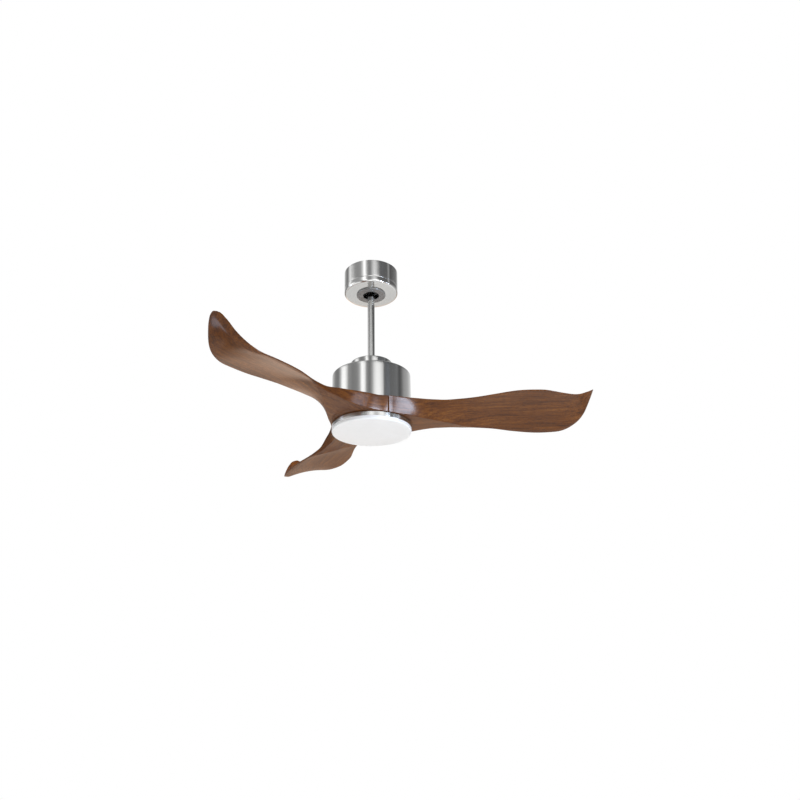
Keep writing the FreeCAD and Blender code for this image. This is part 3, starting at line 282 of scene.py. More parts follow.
def walnut():
    # Dark walnut under satin lacquer: straight streaks a few millimetres wide along the blade, short dark
    # pores between them, and a sheen that grows where the surface is seen at a grazing angle.
    look = {"tones": ((0.34, "#46260B"), (0.46, "#613711"), (0.55, "#724417"), (0.68, "#865620")),
            "streak": 0.005, "streakLength": 0.16, "band": 0.03, "bandLength": 0.5, "bandShare": 0.4,
            "pore": 0.0011, "poreLength": 0.016, "poreTones": ((0.34, "#7A675B"), (0.50, "#FFFFFF")),
            "poreShare": 0.8, "poreRelief": 0.10, "poreDepth": 0.0002,
            "roughness": (0.40, 0.52), "specular": 0.12,
            "lacquer": 0.38, "lacquerRoughness": 0.18, "lacquerTint": "#F3D9BF"}
    material, tree, shader = newMaterial(
        "lacqueredWalnut", Specular_IOR_Level=look["specular"], Coat_Weight=look["lacquer"],
        Coat_Roughness=look["lacquerRoughness"], Coat_IOR=1.5, Coat_Tint=linear(look["lacquerTint"]))
    grain = addNode(tree, "ShaderNodeAttribute", {"attribute_name": "grain"})
    layers = {}
    for name, along, across, detail in (
            ("band", look["bandLength"], look["band"], 2.0),
            ("streak", look["streakLength"], look["streak"], 4.0),
            ("pore", look["poreLength"], look["pore"], 3.0)):
        scale = addNode(tree, "ShaderNodeMapping", None, {
            "Vector": grain.outputs["Vector"], "Scale": (1 / along, 1 / across, 1 / across)})
        noise = addNode(tree, "ShaderNodeTexNoise", None, {
            "Vector": scale.outputs["Vector"], "Scale": 1.0, "Detail": detail, "Roughness": 0.6})
        layers[name] = noise.outputs["Fac"]
    mixed = addNode(tree, "ShaderNodeMix", {"data_type": "FLOAT"}, {
        "Factor": look["bandShare"], "A": layers["streak"], "B": layers["band"]})
    tone = addNode(tree, "ShaderNodeValToRGB", None, {"Fac": mixed.outputs["Result"]}, look["tones"])
    poreTone = addNode(tree, "ShaderNodeValToRGB", None, {"Fac": layers["pore"]}, look["poreTones"])
    stained = addNode(tree, "ShaderNodeMix", {"data_type": "RGBA", "blend_type": "MULTIPLY"}, {
        "Factor": look["poreShare"], "A": tone.outputs["Color"], "B": poreTone.outputs["Color"]})
    tree.links.new(stained.outputs["Result"], shader.inputs["Base Color"])
    rough = addNode(tree, "ShaderNodeMapRange", None, {
        "Value": layers["pore"], "From Min": 0.3, "From Max": 0.7,
        "To Min": look["roughness"][1], "To Max": look["roughness"][0]})
    tree.links.new(rough.outputs["Result"], shader.inputs["Roughness"])
    relief = addNode(tree, "ShaderNodeBump", None, {
        "Height": layers["pore"], "Strength": look["poreRelief"], "Distance": look["poreDepth"]})
    tree.links.new(relief.outputs["Normal"], shader.inputs["Normal"])
    return material


def opalAcrylic():
    # Opal acrylic, satin moulded: an even milky white that glows a little inside its edge.
    look = {"colour": ("#F8F8F8", "#FCFCFC"), "roughness": (0.28, 0.36), "cloud": 0.02, "relief": 0.02,
            "glow": 0.3, "glowDepth": 0.004}
    return mouldedPlastic("opalAcrylic", look["colour"], look["roughness"], look["cloud"], look["relief"],
                          Subsurface_Weight=look["glow"], Subsurface_Scale=look["glowDepth"],
                          Subsurface_Radius=(1, 1, 1), IOR=1.49)


def collarCast():
    # Zinc casting: its turned edge is polished, and its underside is painted a mottled mid grey.
    look = {"paint": ("#7C7C7C", "#A4A4A4"), "mottle": 0.004, "paintRoughness": (0.38, 0.6),
            "paintMetallic": 0.6, "edgeRoughness": 0.1, "edgeStart": 0.0010, "edgeFade": 0.0004,
            "relief": 0.25, "reliefHeight": 0.0004}
    material, tree, shader = newMaterial("collarCast")
    place = addNode(tree, "ShaderNodeTexCoord")
    mottle = addNode(tree, "ShaderNodeTexNoise", None, {
        "Vector": place.outputs["Object"], "Scale": 1 / look["mottle"], "Detail": 5.0, "Roughness": 0.7})
    tint = addNode(tree, "ShaderNodeValToRGB", None, {"Fac": mottle.outputs["Fac"]},
                   stops=[(0.35, look["paint"][0]), (0.65, look["paint"][1])])
    tree.links.new(tint.outputs["Color"], shader.inputs["Base Color"])
    rough = addNode(tree, "ShaderNodeMapRange", None, {
        "Value": mottle.outputs["Fac"], "From Min": 0.35, "From Max": 0.65,
        "To Min": look["paintRoughness"][0], "To Max": look["paintRoughness"][1]})
    height = addNode(tree, "ShaderNodeSeparateXYZ", None, {"Vector": place.outputs["Object"]})
    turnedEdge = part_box("canopy_ring")[0].z + look["edgeStart"]
    painted = addNode(tree, "ShaderNodeMapRange", None, {
        "Value": height.outputs["Z"], "From Min": turnedEdge, "From Max": turnedEdge + look["edgeFade"],
        "To Min": 1.0, "To Max": 0.0})
    blend = addNode(tree, "ShaderNodeMix", {"data_type": "FLOAT"}, {
        "Factor": painted.outputs["Result"], "A": look["edgeRoughness"], "B": rough.outputs["Result"]})
    tree.links.new(blend.outputs["Result"], shader.inputs["Roughness"])
    bare = addNode(tree, "ShaderNodeMapRange", None, {
        "Value": painted.outputs["Result"], "To Min": 1.0, "To Max": look["paintMetallic"]})
    tree.links.new(bare.outputs["Result"], shader.inputs["Metallic"])
    relief = addNode(tree, "ShaderNodeBump", None, {
        "Height": mottle.outputs["Fac"], "Strength": look["relief"], "Distance": look["reliefHeight"]})
    tree.links.new(relief.outputs["Normal"], shader.inputs["Normal"])
    return material


# materials of the pieces that are made anew below, then one for each slot of the CAD nodes
nickel = brushedNickel("brushedNickel")
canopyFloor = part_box("canopy")[0].z
canopyPolish = {"from": 0.0004, "to": 0.0172}  # the canopy's polished edge, above its underside
canopyNickel = brushedNickel("brushedNickelPolishedEdge", polishedFrom=canopyFloor + canopyPolish["from"],
                             polishedTo=canopyFloor + canopyPolish["to"])
walnutWood = walnut()
opal = opalAcrylic()
collarGrey = collarCast()
# polished plate mirrors its surroundings sharply; the drawn tube is a little darker and softer
mirrorNickel = solidMetal("polishedNickel", ("#CFCFCE", "#D6D6D5"), (0.08, 0.13), 0.01, 0.01)
rodNickel = solidMetal("drawnNickelTube", ("#B9B9B8", "#C3C3C2"), (0.10, 0.16), 0.02, 0.01)
# each takes two colours and two roughnesses to drift between, the drift's width in metres, and its relief
slotMaterials = {
    "zinc_plated_steel": solidMetal("zincPlatedSteel", ("#A3A6AA", "#B4B6B8"), (0.3, 0.45), 0.006, 0.05),
    "brushed_nickel": nickel,
    "polished_nickel": mirrorNickel,
    "screw_steel": solidMetal("turnedSteel", ("#8F9296", "#A0A2A5"), (0.25, 0.38), 0.002, 0.05),
    "bearing_steel": solidMetal("groundBearingSteel", ("#B4B6BA", "#C0C2C5"), (0.1, 0.18), 0.003, 0.02),
    "lamination_steel": solidMetal("laminatedSteel", ("#63666B", "#74777B"), (0.4, 0.55), 0.0005, 0.2),
    "cast_aluminium": solidMetal("castAluminium", ("#A9ABAD", "#BCBEC0"), (0.45, 0.6), 0.0015, 0.3),
    "brass": solidMetal("turnedBrass", ("#B8924C", "#C9A55E"), (0.22, 0.32), 0.002, 0.04),
    "copper_enamel": solidMetal("enamelledCopper", ("#8E3F1D", "#B05A2C"), (0.28, 0.4), 0.0008, 0.4),
    "ferrite": mouldedPlastic("sinteredFerrite", ("#1B1B1D", "#29292C"), (0.5, 0.65), 0.001, 0.2),
    "ring_grey": collarGrey,
    "black_plastic": mouldedPlastic("blackNylon", ("#0F0F10", "#19191B"), (0.42, 0.55), 0.0012, 0.15),
    "white_plastic": mouldedPlastic("whiteNylon", ("#DADAD4", "#E6E6E1"), (0.4, 0.52), 0.0012, 0.12),
    "board_green": mouldedPlastic("solderMaskGreen", ("#0C4A24", "#12602F"), (0.25, 0.4), 0.004, 0.05),
    "board_white": mouldedPlastic("whiteSolderMask", ("#E4E6E6", "#F0F1F1"), (0.3, 0.42), 0.004, 0.03),
    "capacitor_can": mouldedPlastic("sleevedCan", ("#20242F", "#2B3040"), (0.22, 0.34), 0.004, 0.03),
    "led_yellow": mouldedPlastic("phosphorSilicone", ("#E8C85A", "#F2D672"), (0.2, 0.3), 0.001, 0.03),
    "lead_insulation": mouldedPlastic("pvcInsulation", ("#1A1A1C", "#26262A"), (0.35, 0.45), 0.003, 0.05),
    "rubber_black": mouldedPlastic("mouldedRubber", ("#0B0B0B", "#141414"), (0.6, 0.75), 0.001, 0.2),
    "walnut": walnutWood,
    "opal_diffuser": opal,
}
for row in frame["record"]["subparts"]:
    data = cadNodes[row["node"]].data
    data.materials.clear()
    data.materials.append(slotMaterials[row["material_slot"]])
print("materials ready:", len(slotMaterials))


def canopyCup():
    # Drawn cup: straight wall, a fine groove above the rounded edge, and a flat underside with a hole.
    shape = {"wall": 0.0012, "edge": 0.005, "lip": 0.0004, "holeRadius": 0.027,
             "groove": 0.0174, "grooveHeight": 0.0024, "grooveDeepest": 0.4, "grooveDepth": 0.0006,
             "grooveRounds": (0.0003, 0.0004, 0.0005)}
    low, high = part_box("canopy")
    radius, inside = high.x, high.x - shape["wall"]
    groove = low.z + shape["groove"]
    firstRound, deepRound, lastRound = shape["grooveRounds"]
    corners = [
        (shape["holeRadius"], low.z, shape["lip"]), (radius, low.z, shape["edge"]),
        (radius, groove, firstRound),
        (radius - shape["grooveDepth"], groove + shape["grooveHeight"] * shape["grooveDeepest"], deepRound),
        (radius, groove + shape["grooveHeight"], lastRound),
        (radius, high.z, shape["lip"]), (inside, high.z, shape["lip"]),
        (inside, low.z + shape["wall"], shape["edge"] - shape["wall"]),
        (shape["holeRadius"], low.z + shape["wall"], shape["lip"])]
    mesh = turnedMesh("canopyCup", corners)
    return finishPiece(mesh, "canopyCup", canopyNickel, ceilingMount, ["canopy"])


def canopyCollar():
    # Collar that snaps into the canopy's hole: a rounded rim, a flat underside round the bore, and a neck
    # whose catch grips the canopy's wall.
    shape = {"wall": 0.0012, "rim": 0.0016, "boreRound": 0.0012, "neckRadius": 0.027, "neckWall": 0.0017,
             "catch": 0.0008, "neckRound": 0.0004, "canopyWall": 0.0012}
    low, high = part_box("canopy_ring")
    radius, neck = high.x, shape["neckRadius"]
    bore, floor = neck - shape["neckWall"], low.z + shape["wall"]
    catch = canopyFloor + shape["canopyWall"]
    corners = [
        (bore, low.z, shape["boreRound"]), (radius, low.z, shape["rim"]), (radius, canopyFloor, 0),
        (radius - shape["wall"], canopyFloor, 0), (radius - shape["wall"], floor, 0), (neck, floor, 0),
        (neck, catch, 0), (neck + shape["catch"], catch, 0),
        (neck, high.z, 0), (bore, high.z, shape["neckRound"])]
    mesh = turnedMesh("canopyCollar", corners, around=144, longest=0.004)
    return finishPiece(mesh, "canopyCollar", collarGrey, ceilingMount, ["canopy_ring"])


def rodTube():
    # Plated tube with a cut end at top and bottom.
    shape = {"wall": 0.0015, "chamfer": 0.0005}
    low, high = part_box("downrod")
    radius = high.x
    corners = [
        (radius - shape["wall"], low.z, 0), (radius, low.z, shape["chamfer"]),
        (radius, high.z, shape["chamfer"]), (radius - shape["wall"], high.z, 0)]
    mesh = turnedMesh("rodTube", corners, around=96, longest=0.03)
    return finishPiece(mesh, "rodTube", rodNickel, hungFrame, ["downrod"])


def couplingCup():
    # Cup over the coupling, with a rounded shoulder and a hole for the rod.
    shape = {"wall": 0.001, "shoulder": 0.004, "holeRadius": 0.012, "lip": 0.0004}
    low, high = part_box("coupling_cover")
    radius, inside = high.x, high.x - shape["wall"]
    corners = [
        (shape["holeRadius"], high.z, shape["lip"]),
        (shape["holeRadius"], high.z - shape["wall"], shape["lip"]),
        (inside, high.z - shape["wall"], shape["shoulder"] - shape["wall"]),
        (inside, low.z, 0), (radius, low.z, 0), (radius, high.z, shape["shoulder"])]
    mesh = turnedMesh("couplingCup", corners)
    return finishPiece(mesh, "couplingCup", nickel, hungFrame, ["coupling_cover"])


def housingDrum():
    # Drum over the motor, open below, with a rounded shoulder.
    shape = {"wall": 0.0012, "shoulder": 0.006, "holeRadius": 0.017, "lip": 0.0004}
    low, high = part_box("motor_housing")
    radius, inside = high.x, high.x - shape["wall"]
    corners = [
        (shape["holeRadius"], high.z, 0), (shape["holeRadius"], high.z - shape["wall"], 0),
        (inside, high.z - shape["wall"], shape["shoulder"] - shape["wall"]),
        (inside, low.z, shape["lip"]), (radius, low.z, shape["lip"]), (radius, high.z, shape["shoulder"])]
    mesh = turnedMesh("housingDrum", corners, around=240)
    return finishPiece(mesh, "housingDrum", nickel, hungFrame, ["motor_housing"])


def lightTray():
    # Shallow pan that carries the light, open below and a little narrower there.
    shape = {"wall": 0.0012, "edge": 0.0008, "lip": 0.0003, "holeRadius": 0.019, "taper": 0.0018}
    low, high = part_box("light_pan")
    radius, mouth = high.x, high.x - shape["taper"]
    corners = [
        (shape["holeRadius"], high.z, 0), (shape["holeRadius"], high.z - shape["wall"], 0),
        (radius - shape["wall"], high.z - shape["wall"], 0),
        (mouth - shape["wall"], low.z, shape["lip"]), (mouth, low.z, shape["lip"]),
        (radius, high.z, shape["edge"])]
    mesh = turnedMesh("lightTray", corners, around=240)
    return finishPiece(mesh, "lightTray", nickel, hungFrame, ["light_pan"])


def opalLens():
    # Opal dish: a short straight side, a soft edge and a face that is crowned by a millimetre or two. The
    # crown bends at a share of the radius, where it has fallen by a share of its height.
    shape = {"wall": 0.002, "edge": 0.0035, "crown": 0.0012, "crownBend": (0.55, 0.3), "crownRound": 0.3,
             "rimRound": 0.0006, "panGap": 0.0003, "collar": 0.1138, "collarWall": 0.002}
    low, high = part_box("diffuser")
    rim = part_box("light_pan")[0].z - shape["panGap"]
    radius, inside = high.x, high.x - shape["wall"]
    collar, collarOutside = shape["collar"], shape["collar"] + shape["collarWall"]
    faceEdge = low.z + shape["crown"]
    bendOut, bendUp = shape["crownBend"]
    corners = [
        (0, low.z, 0), (radius * bendOut, low.z + shape["crown"] * bendUp, shape["crownRound"]),
        (radius, faceEdge, shape["edge"]), (radius, rim, shape["rimRound"]),
        (collarOutside, rim, 0), (collarOutside, high.z, 0), (collar, high.z, 0),
        (collar, rim - shape["wall"], 0), (inside, rim - shape["wall"], 0),
        (inside, faceEdge + shape["wall"], shape["edge"] - shape["wall"]), (0, low.z + shape["wall"], 0)]
    mesh = turnedMesh("opalLens", corners, around=240)
    return finishPiece(mesh, "opalLens", opal, lensBody, ["diffuser"])


for makePiece in (canopyCup, canopyCollar, rodTube, couplingCup, housingDrum, lightTray, opalLens):
    piece = makePiece()
    print("made", piece.name, len(piece.data.polygons), "faces")


bladeForm = {
    "count": 3, "azimuth": -4.7,  # the first blade's turn from +X, in degrees
    "rows": 84, "rowSpread": 1.35,  # rows lie closer together towards the tip
    "hubHeight": 0.040, "hubInner": 0.062, "hubMiddle": 0.098, "seamRadius": 0.135,
    "seamAngle": 56.0, "seamSkew": 2.2,  # degrees; the skew turns the seam's lower end
    "seamGap": 0.0004, "seamRound": 0.0022,
    "lean": 0.013, "leanInwards": 0.6,  # how far the wall leans, and its lower edge's share of that
    # where the hub's wall ends beside the seams, as x and y of the leading and of the trailing end
    "wallHigh": ((0.0870, -0.1055), (0.0970, 0.0915)),
    "wallLow": ((0.0835, -0.0920), (0.0905, 0.0848)),
    # for each row of the hub: how far its wall bows outwards, and how much its leading end rises
    "hubBulge": (0.031, 0.032, 0.029, 0.029, 0.028, 0.028, 0.028, 0.022, 0.015),
    "hubRise": (0, 0, 0, 0, 0, 0, 0, 0.001, 0.0025), "hubFall": 0.0005,
    # the upper rim's rise outside the drum: its height, where it starts and ends, and over what length
    "rimRise": 0.005, "rimStart": 0.1215, "rimStartLength": 0.0135, "rimEnd": 0.24, "rimEndLength": 0.09,
    "edge": 0.003, "cup": 0.009, "crown": 0.005,
    "leadRound": 0.0014, "trailRound": 0.0013,
    # the crease is sharp at the hub and softens outwards from a distance, over a length
    "creaseRound": 0.0008, "creaseSoftening": 0.012, "softFrom": 0.30, "softLength": 0.16,
    "grainShift": 0.37,  # each blade is cut from another place in the wood
}
# Corners of the blade across its length, in mm: x is the distance from the axis, y is sideways, and z is
# the height above the hub's underside. Lead is the edge that goes first, and crease is where the flat
# underside of the hub meets the twisted face.
reach = np.array([118, 153, 191, 232, 281, 325, 364, 429, 496, 555, 604, 637, 653, 661, 663]) / 1000
leadY = np.array([-90, -79, -75, -76, -82, -90, -101, -119, -123, -105, -75, -45, -27, -14, -7]) / 1000
leadZ = np.array([44, 45, 45, 44, 44, 45, 46, 47, 45, 41, 47, 66, 78, 86, 89]) / 1000
creaseY = np.array([-74, -52, -28, -2, 27, 47, 60, 68, 72, 68, 48, 25, 10, -1, -6]) / 1000
creaseZ = np.array([0, -1, -1, -1, -3, -2, 0, -4, -8, -9, 1, 28, 60, 80, 86]) / 1000
trailY = np.array([77, 64, 56, 53, 51, 56, 64, 79, 85, 80, 66, 49, 31, 12, -1]) / 1000
trailLow = np.array([1, 2, 3, 3, 1, 1, 0, -5, -10, -11, 2, 30, 61, 81, 87]) / 1000
trailHigh = np.array([39, 37, 33, 26, 14, 8, 3.5, -2, -7, -8, 5, 33, 64, 84, 89]) / 1000
cupShare = np.array([0, 0.05, 0.1, 0.2, 0.4, 0.6, 0.8, 1, 1, 1, 0.7, 0.4, 0.2, 0.05, 0])
crownShare = np.array([0, 0.1, 0.25, 0.4, 0.6, 0.8, 1, 1, 1, 1, 0.8, 0.5, 0.25, 0.1, 0])


def smoothThrough(knots, values, at):
    # A curve through all values: each stretch is a cubic whose end slopes are the mean of the slopes
    # beside them, and zero where those turn.
    slopes = np.diff(values) / np.diff(knots)
    inner = np.where(slopes[:-1] * slopes[1:] > 0, (slopes[:-1] + slopes[1:]) / 2, 0)
    tangent = np.concatenate([slopes[:1], inner, slopes[-1:]])
    index = np.clip(np.searchsorted(knots, at) - 1, 0, len(knots) - 2)
    span = knots[index + 1] - knots[index]
    share = (at - knots[index]) / span
    a, b = values[index], values[index + 1]
    ta, tb = tangent[index] * span, tangent[index + 1] * span
    return ((2 * share ** 3 - 3 * share ** 2 + 1) * a + (share ** 3 - 2 * share ** 2 + share) * ta
            + (3 * share ** 2 - 2 * share ** 3) * b + (share ** 3 - share ** 2) * tb)


def seamPoint(radius, angle, side):
    # A point beside the seam at this angle: radius times the seam's direction, plus the gap to one side.
    gap = side * bladeForm["seamGap"]
    return np.array([radius * math.cos(angle) - gap * math.sin(angle),
                     radius * math.sin(angle) + gap * math.cos(angle)])


def seamCorner(corner, wall, amount):
    # A parabola round the corner from the seam's side to the wall's side, at an amount from 0 to 1.
    toWall = (wall - corner) / np.linalg.norm(wall - corner)
    toSeam = -corner / np.linalg.norm(corner)
    return corner + bladeForm["seamRound"] * (toWall * amount ** 2 + toSeam * (1 - amount) ** 2)


def hubOutline(wall, inset, skew):
    # Leading and trailing points of the hub's rows at one height, from the inner end along both seams,
    # round both corners and on to where the hub's wall ends.
    form = bladeForm
    end = math.radians(form["seamAngle"])
    start = end - 2 * math.pi / form["count"]
    start, end = start + skew, end + skew
    radius, middle = form["seamRadius"] - inset, form["hubMiddle"] - inset / 2
    lead, trail = seamPoint(radius, start, 1), seamPoint(radius, end, -1)
    wallLead, wallTrail = np.array(wall[0]), np.array(wall[1])
    line = [(seamPoint(form["hubInner"], start, 1), seamPoint(form["hubInner"], end, -1)),
            (seamPoint(middle, start, 1), seamPoint(middle, end, -1))]
    line += [(seamCorner(lead, wallLead, amount), seamCorner(trail, wallTrail, amount))
             for amount in (0, 0.25, 0.5, 0.75, 1)]
    line += [((lead + wallLead) / 2, (trail + wallTrail) / 2), (wallLead, wallTrail)]
    return line


def bladeRows():
    # Corner points (rows, 5, 3) from the hub outwards: lead top, lead underside, crease, trailing lower
    # and trailing upper edge; then each row's bulge, cup, crown and crease rounding.
    form = bladeForm
    share = 1 - (1 - np.linspace(0, 1, form["rows"])) ** form["rowSpread"]
    x = reach[0] + (reach[-1] - reach[0]) * share
    at = {name: smoothThrough(reach, line, x) for name, line in (
        ("leadY", leadY), ("leadZ", leadZ), ("creaseY", creaseY), ("creaseZ", creaseZ),
        ("trailY", trailY), ("trailLow", trailLow), ("trailHigh", trailHigh),
        ("cup", cupShare), ("crown", crownShare))}
    edge, top = form["edge"], form["hubHeight"]
    # the trailing wall leans like the hub's, less and less as it gets lower
    lean = form["lean"] * np.clip((at["trailHigh"] - at["trailLow"]) / top, 0, 1)
    outer = np.stack([
        np.stack([x, at["leadY"], at["leadZ"]], -1),
        np.stack([x, at["leadY"], at["leadZ"] - edge], -1),
        np.stack([x, at["creaseY"], at["creaseZ"]], -1),
        np.stack([x, at["trailY"] - form["leanInwards"] * lean, at["trailLow"]], -1),
        np.stack([x, at["trailY"] + (1 - form["leanInwards"]) * lean, at["trailHigh"]], -1)], 1)
    upper = hubOutline(form["wallHigh"], 0, 0)
    lower = hubOutline(form["wallLow"], form["lean"], math.radians(form["seamSkew"]))
    root = np.array([
        [[*high[0], top + rise], [*(high[0] + (low[0] - high[0]) * edge / top), top + rise - edge],
         [*low[0], 0], [*low[1], 0], [*high[1], top - form["hubFall"]]]
        for high, low, rise in zip(upper, lower, form["hubRise"])])
    corners = np.concatenate([root, outer])
    count = len(root)
    bulge = np.concatenate([form["hubBulge"], np.zeros(len(x))])
    cup = np.concatenate([np.zeros(count), at["cup"] * form["cup"]])
    crown = np.concatenate([np.zeros(count), at["crown"] * form["crown"]])
    soft = np.clip((x - form["softFrom"]) / form["softLength"], 0, 1)
    creaseRound = form["creaseRound"] + form["creaseSoftening"] * np.concatenate([np.zeros(count), soft])
    return corners, bulge, cup, crown, creaseRound


def bladePoints():
    # The blade as a grid: every row is a closed outline whose five sides are divided evenly and whose
    # corners are rounded by a parabola. A side's point at share t is the straight point plus 4t(1-t)
    # times the row's cup or crown (upwards) or bulge (outwards).
    form = bladeForm
    corners, bulge, cup, crown, creaseRound = bladeRows()
    # for each side: its number of points, which lift it has (none, cup, or cup and crown), and whether it
    # bulges
    sides = [(3, 0, 0), (26, 1, 0), (18, 0, 1), (7, 0, 0), (34, 2, 1)]
    lifts = np.array([0 * cup, cup, cup + crown])
    lead, trail = (np.full(len(corners), form[name]) for name in ("leadRound", "trailRound"))
    roundings = np.stack([lead, lead, creaseRound, trail, trail], 1)
    lengths = np.linalg.norm(np.roll(corners, -1, 1) - corners, axis=2)
    shortest = np.minimum(lengths, np.roll(lengths, 1, 1))
    roundings = np.minimum(roundings, 0.48 * shortest)  # so two roundings on a short side don't meet
    columns = []
    for side, (count, lifted, bulged) in enumerate(sides):
        start, end = corners[:, side], corners[:, (side + 1) % 5]
        length = np.maximum(lengths[:, side], 1e-9)
        first = roundings[:, side] / length
        last = 1 - roundings[:, (side + 1) % 5] / length
        share = first[:, None] + (last - first)[:, None] * np.linspace(0, 1, count)[None, :]
        bow = 4 * share * (1 - share)
        points = start[:, None] + (end - start)[:, None] * share[..., None]
        points[..., 2] += bow * lifts[lifted][:, None]
        points[..., 0] += bow * (bulge * bulged)[:, None]
        columns.append(points)
    outline = []
    for side in range(5):
        outline.append(columns[side])
        corner = corners[:, (side + 1) % 5][:, None]
        before, after = columns[side][:, -1:], columns[(side + 1) % 5][:, :1]
        bend = np.array([0.25, 0.5, 0.75])[None, :, None]
        outline.append((1 - bend) ** 2 * before + 2 * bend * (1 - bend) * corner + bend ** 2 * after)
    grid = np.concatenate(outline, 1)
    # outside the drum the hub's upper rim rises a little, by a smooth step of where it starts and ends
    distance = np.hypot(grid[..., 0], grid[..., 1])
    rising = np.clip((distance - form["rimStart"]) / form["rimStartLength"], 0, 1)
    falling = np.clip((form["rimEnd"] - distance) / form["rimEndLength"], 0, 1)
    share = rising * falling
    height = np.clip(grid[..., 2] / form["hubHeight"], 0, 1)
    grid[..., 2] += form["rimRise"] * height * (3 * share ** 2 - 2 * share ** 3)
    return grid


def closeEnd(work, ring, across):
    # Closes an end row with triangles between its lower and its upper half, taken in step from one side
    # to the other, so that the end follows the row's bend.
    turn = int(np.argmax(across))
    lower, upper = list(range(turn + 1)), [0] + list(range(len(ring) - 1, turn - 1, -1))
    low = high = 0
    while low < len(lower) - 1 or high < len(upper) - 1:
        lowNext = across[lower[low + 1]] if low < len(lower) - 1 else math.inf
        highNext = across[upper[high + 1]] if high < len(upper) - 1 else math.inf
        if lowNext <= highNext:
            corners = (lower[low], lower[low + 1], upper[high])
            low += 1
        else:
            corners = (lower[low], upper[high + 1], upper[high])
            high += 1
        if len(set(corners)) == 3:
            work.faces.new([ring[corner] for corner in corners])


def makeBlade(index, local):
    # One blade: the grid closed across by its two end rows, turned to its place round the axis. The grain
    # attribute holds, in metres, the way along the blade, then the place across it and the height.
    form = bladeForm
    angle = math.radians(form["azimuth"] + index * 360 / form["count"])
    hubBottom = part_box("hub_plate")[0].z - form["hubHeight"]
    cosine, sine = math.cos(angle), math.sin(angle)
    points = np.stack([local[..., 0] * cosine - local[..., 1] * sine,
                       local[..., 0] * sine + local[..., 1] * cosine,
                       local[..., 2] + hubBottom], -1)
    count = len(local) - form["rows"]
    grain = local.copy()
    grain[1:, :, 0] = np.cumsum(np.linalg.norm(np.diff(local, axis=0), axis=2), 0)
    grain[0, :, 0] = 0
    grain[..., 0] -= grain[count, :, 0]
    grain[:count, :, 1] = local[count, :, 1]
    grain[..., 2] += form["grainShift"] * index
    mesh = gridMesh(f"walnutBlade{index + 1}", points, vectors=grain)
    work = bmesh.new()
    work.from_mesh(mesh)
    work.verts.ensure_lookup_table()
    rows, columns = points.shape[:2]
    closeEnd(work, [work.verts[i] for i in range(columns)], local[0, :, 1])
    closeEnd(work, [work.verts[(rows - 1) * columns + i] for i in range(columns)], local[-1, :, 1])
    work.to_mesh(mesh)
    work.free()
    return finishPiece(mesh, f"walnutBlade{index + 1}", walnutWood, rotor, [f"blade_{index + 1}"],
                       sharpDegrees=28)


localBlade = bladePoints()
for bladeIndex in range(bladeForm["count"]):
    piece = makeBlade(bladeIndex, localBlade)
    print("made", piece.name, len(piece.data.polygons), "faces")


studio = {
    "floorDepth": 2.6, "floorSize": 10.0, "floorColour": "#F2F2F0", "floorRoughness": 0.9,
    # low soft boxes for the sheen on the wood, which face a point on the axis: azimuth and elevation in
    # degrees, distance, width, height and brightness
    "lowBoxes": ((45, -9.5, 2.6, 0.5, 0.46, 40.0), (71, -5.5, 2.6, 0.9, 0.4, 9.0),
                 (-91, -5, 2.6, 0.6, 0.7, 3.6)),
    "lowBoxColour": "#D9E8FF", "lowBoxAim": -0.5,
    "overheadHeight": 4.0, "overheadSize": 4.5, "overheadBrightness": 4.35,
    # the room that surrounds the fan, in three bands of height. Each is a row of azimuths in degrees, with
    # the brightness there as a share of the room's own
    "roomBrightness": 1.8,
    "high": ((-180, 0.5), (-150, 0.28), (-128, 0.11), (-118, 0.16), (-110, 0.45), (-104, 0.58),
             (-96, 0.32), (-84, 0.19), (-60, 0.18), (-46, 0.22), (-38, 0.46), (-31, 0.82), (-27, 0.78),
             (-20, 0.28), (-12, 0.15), (-3, 0.15), (5, 0.27), (14, 0.39), (22, 0.31), (31, 0.09),
             (45, 0.07), (74, 0.065), (83, 0.24), (90, 0.06), (115, 0.07), (140, 0.12), (160, 0.4),
             (180, 0.5)),
    "upper": ((-180, 0.5), (-150, 0.35), (-130, 0.17), (-112, 0.15), (-102, 0.34), (-94, 0.9),
              (-84, 1.0), (-77, 0.7), (-70, 0.24), (-56, 0.16), (-40, 0.19), (-33, 0.34), (-28, 0.95),
              (-20, 0.95), (-14, 0.27), (-8, 0.14), (-3, 0.13), (3, 0.32), (9, 0.72), (16, 0.9),
              (24, 0.88), (33, 0.6), (37, 0.09), (44, 0.065), (62, 0.11), (80, 0.11), (90, 0.06),
              (98, 0.12), (108, 0.25), (130, 0.32), (150, 0.45), (180, 0.5)),
    "lower": ((-180, 0.48), (-168, 0.92), (-163, 0.34), (-157, 0.12), (-125, 0.1), (-90, 0.45),
              (-70, 0.45), (-40, 0.14), (-16, 0.26), (-9, 0.55), (-2, 0.9), (3, 0.8), (10, 0.45),
              (15, 0.4), (24, 0.75), (32, 0.85), (38, 0.55), (45, 0.2), (55, 0.12), (85, 0.18),
              (110, 0.2), (150, 0.16), (170, 0.36), (180, 0.48)),
    "upperFade": (27.3, 29.3), "lowerFade": (9, 14),  # elevations over which a band gives way to the next
    "warmBehind": "#FFE6D2", "warmFade": (0.5, 0.9),  # the lower band's tint, and where behind it sets in
}


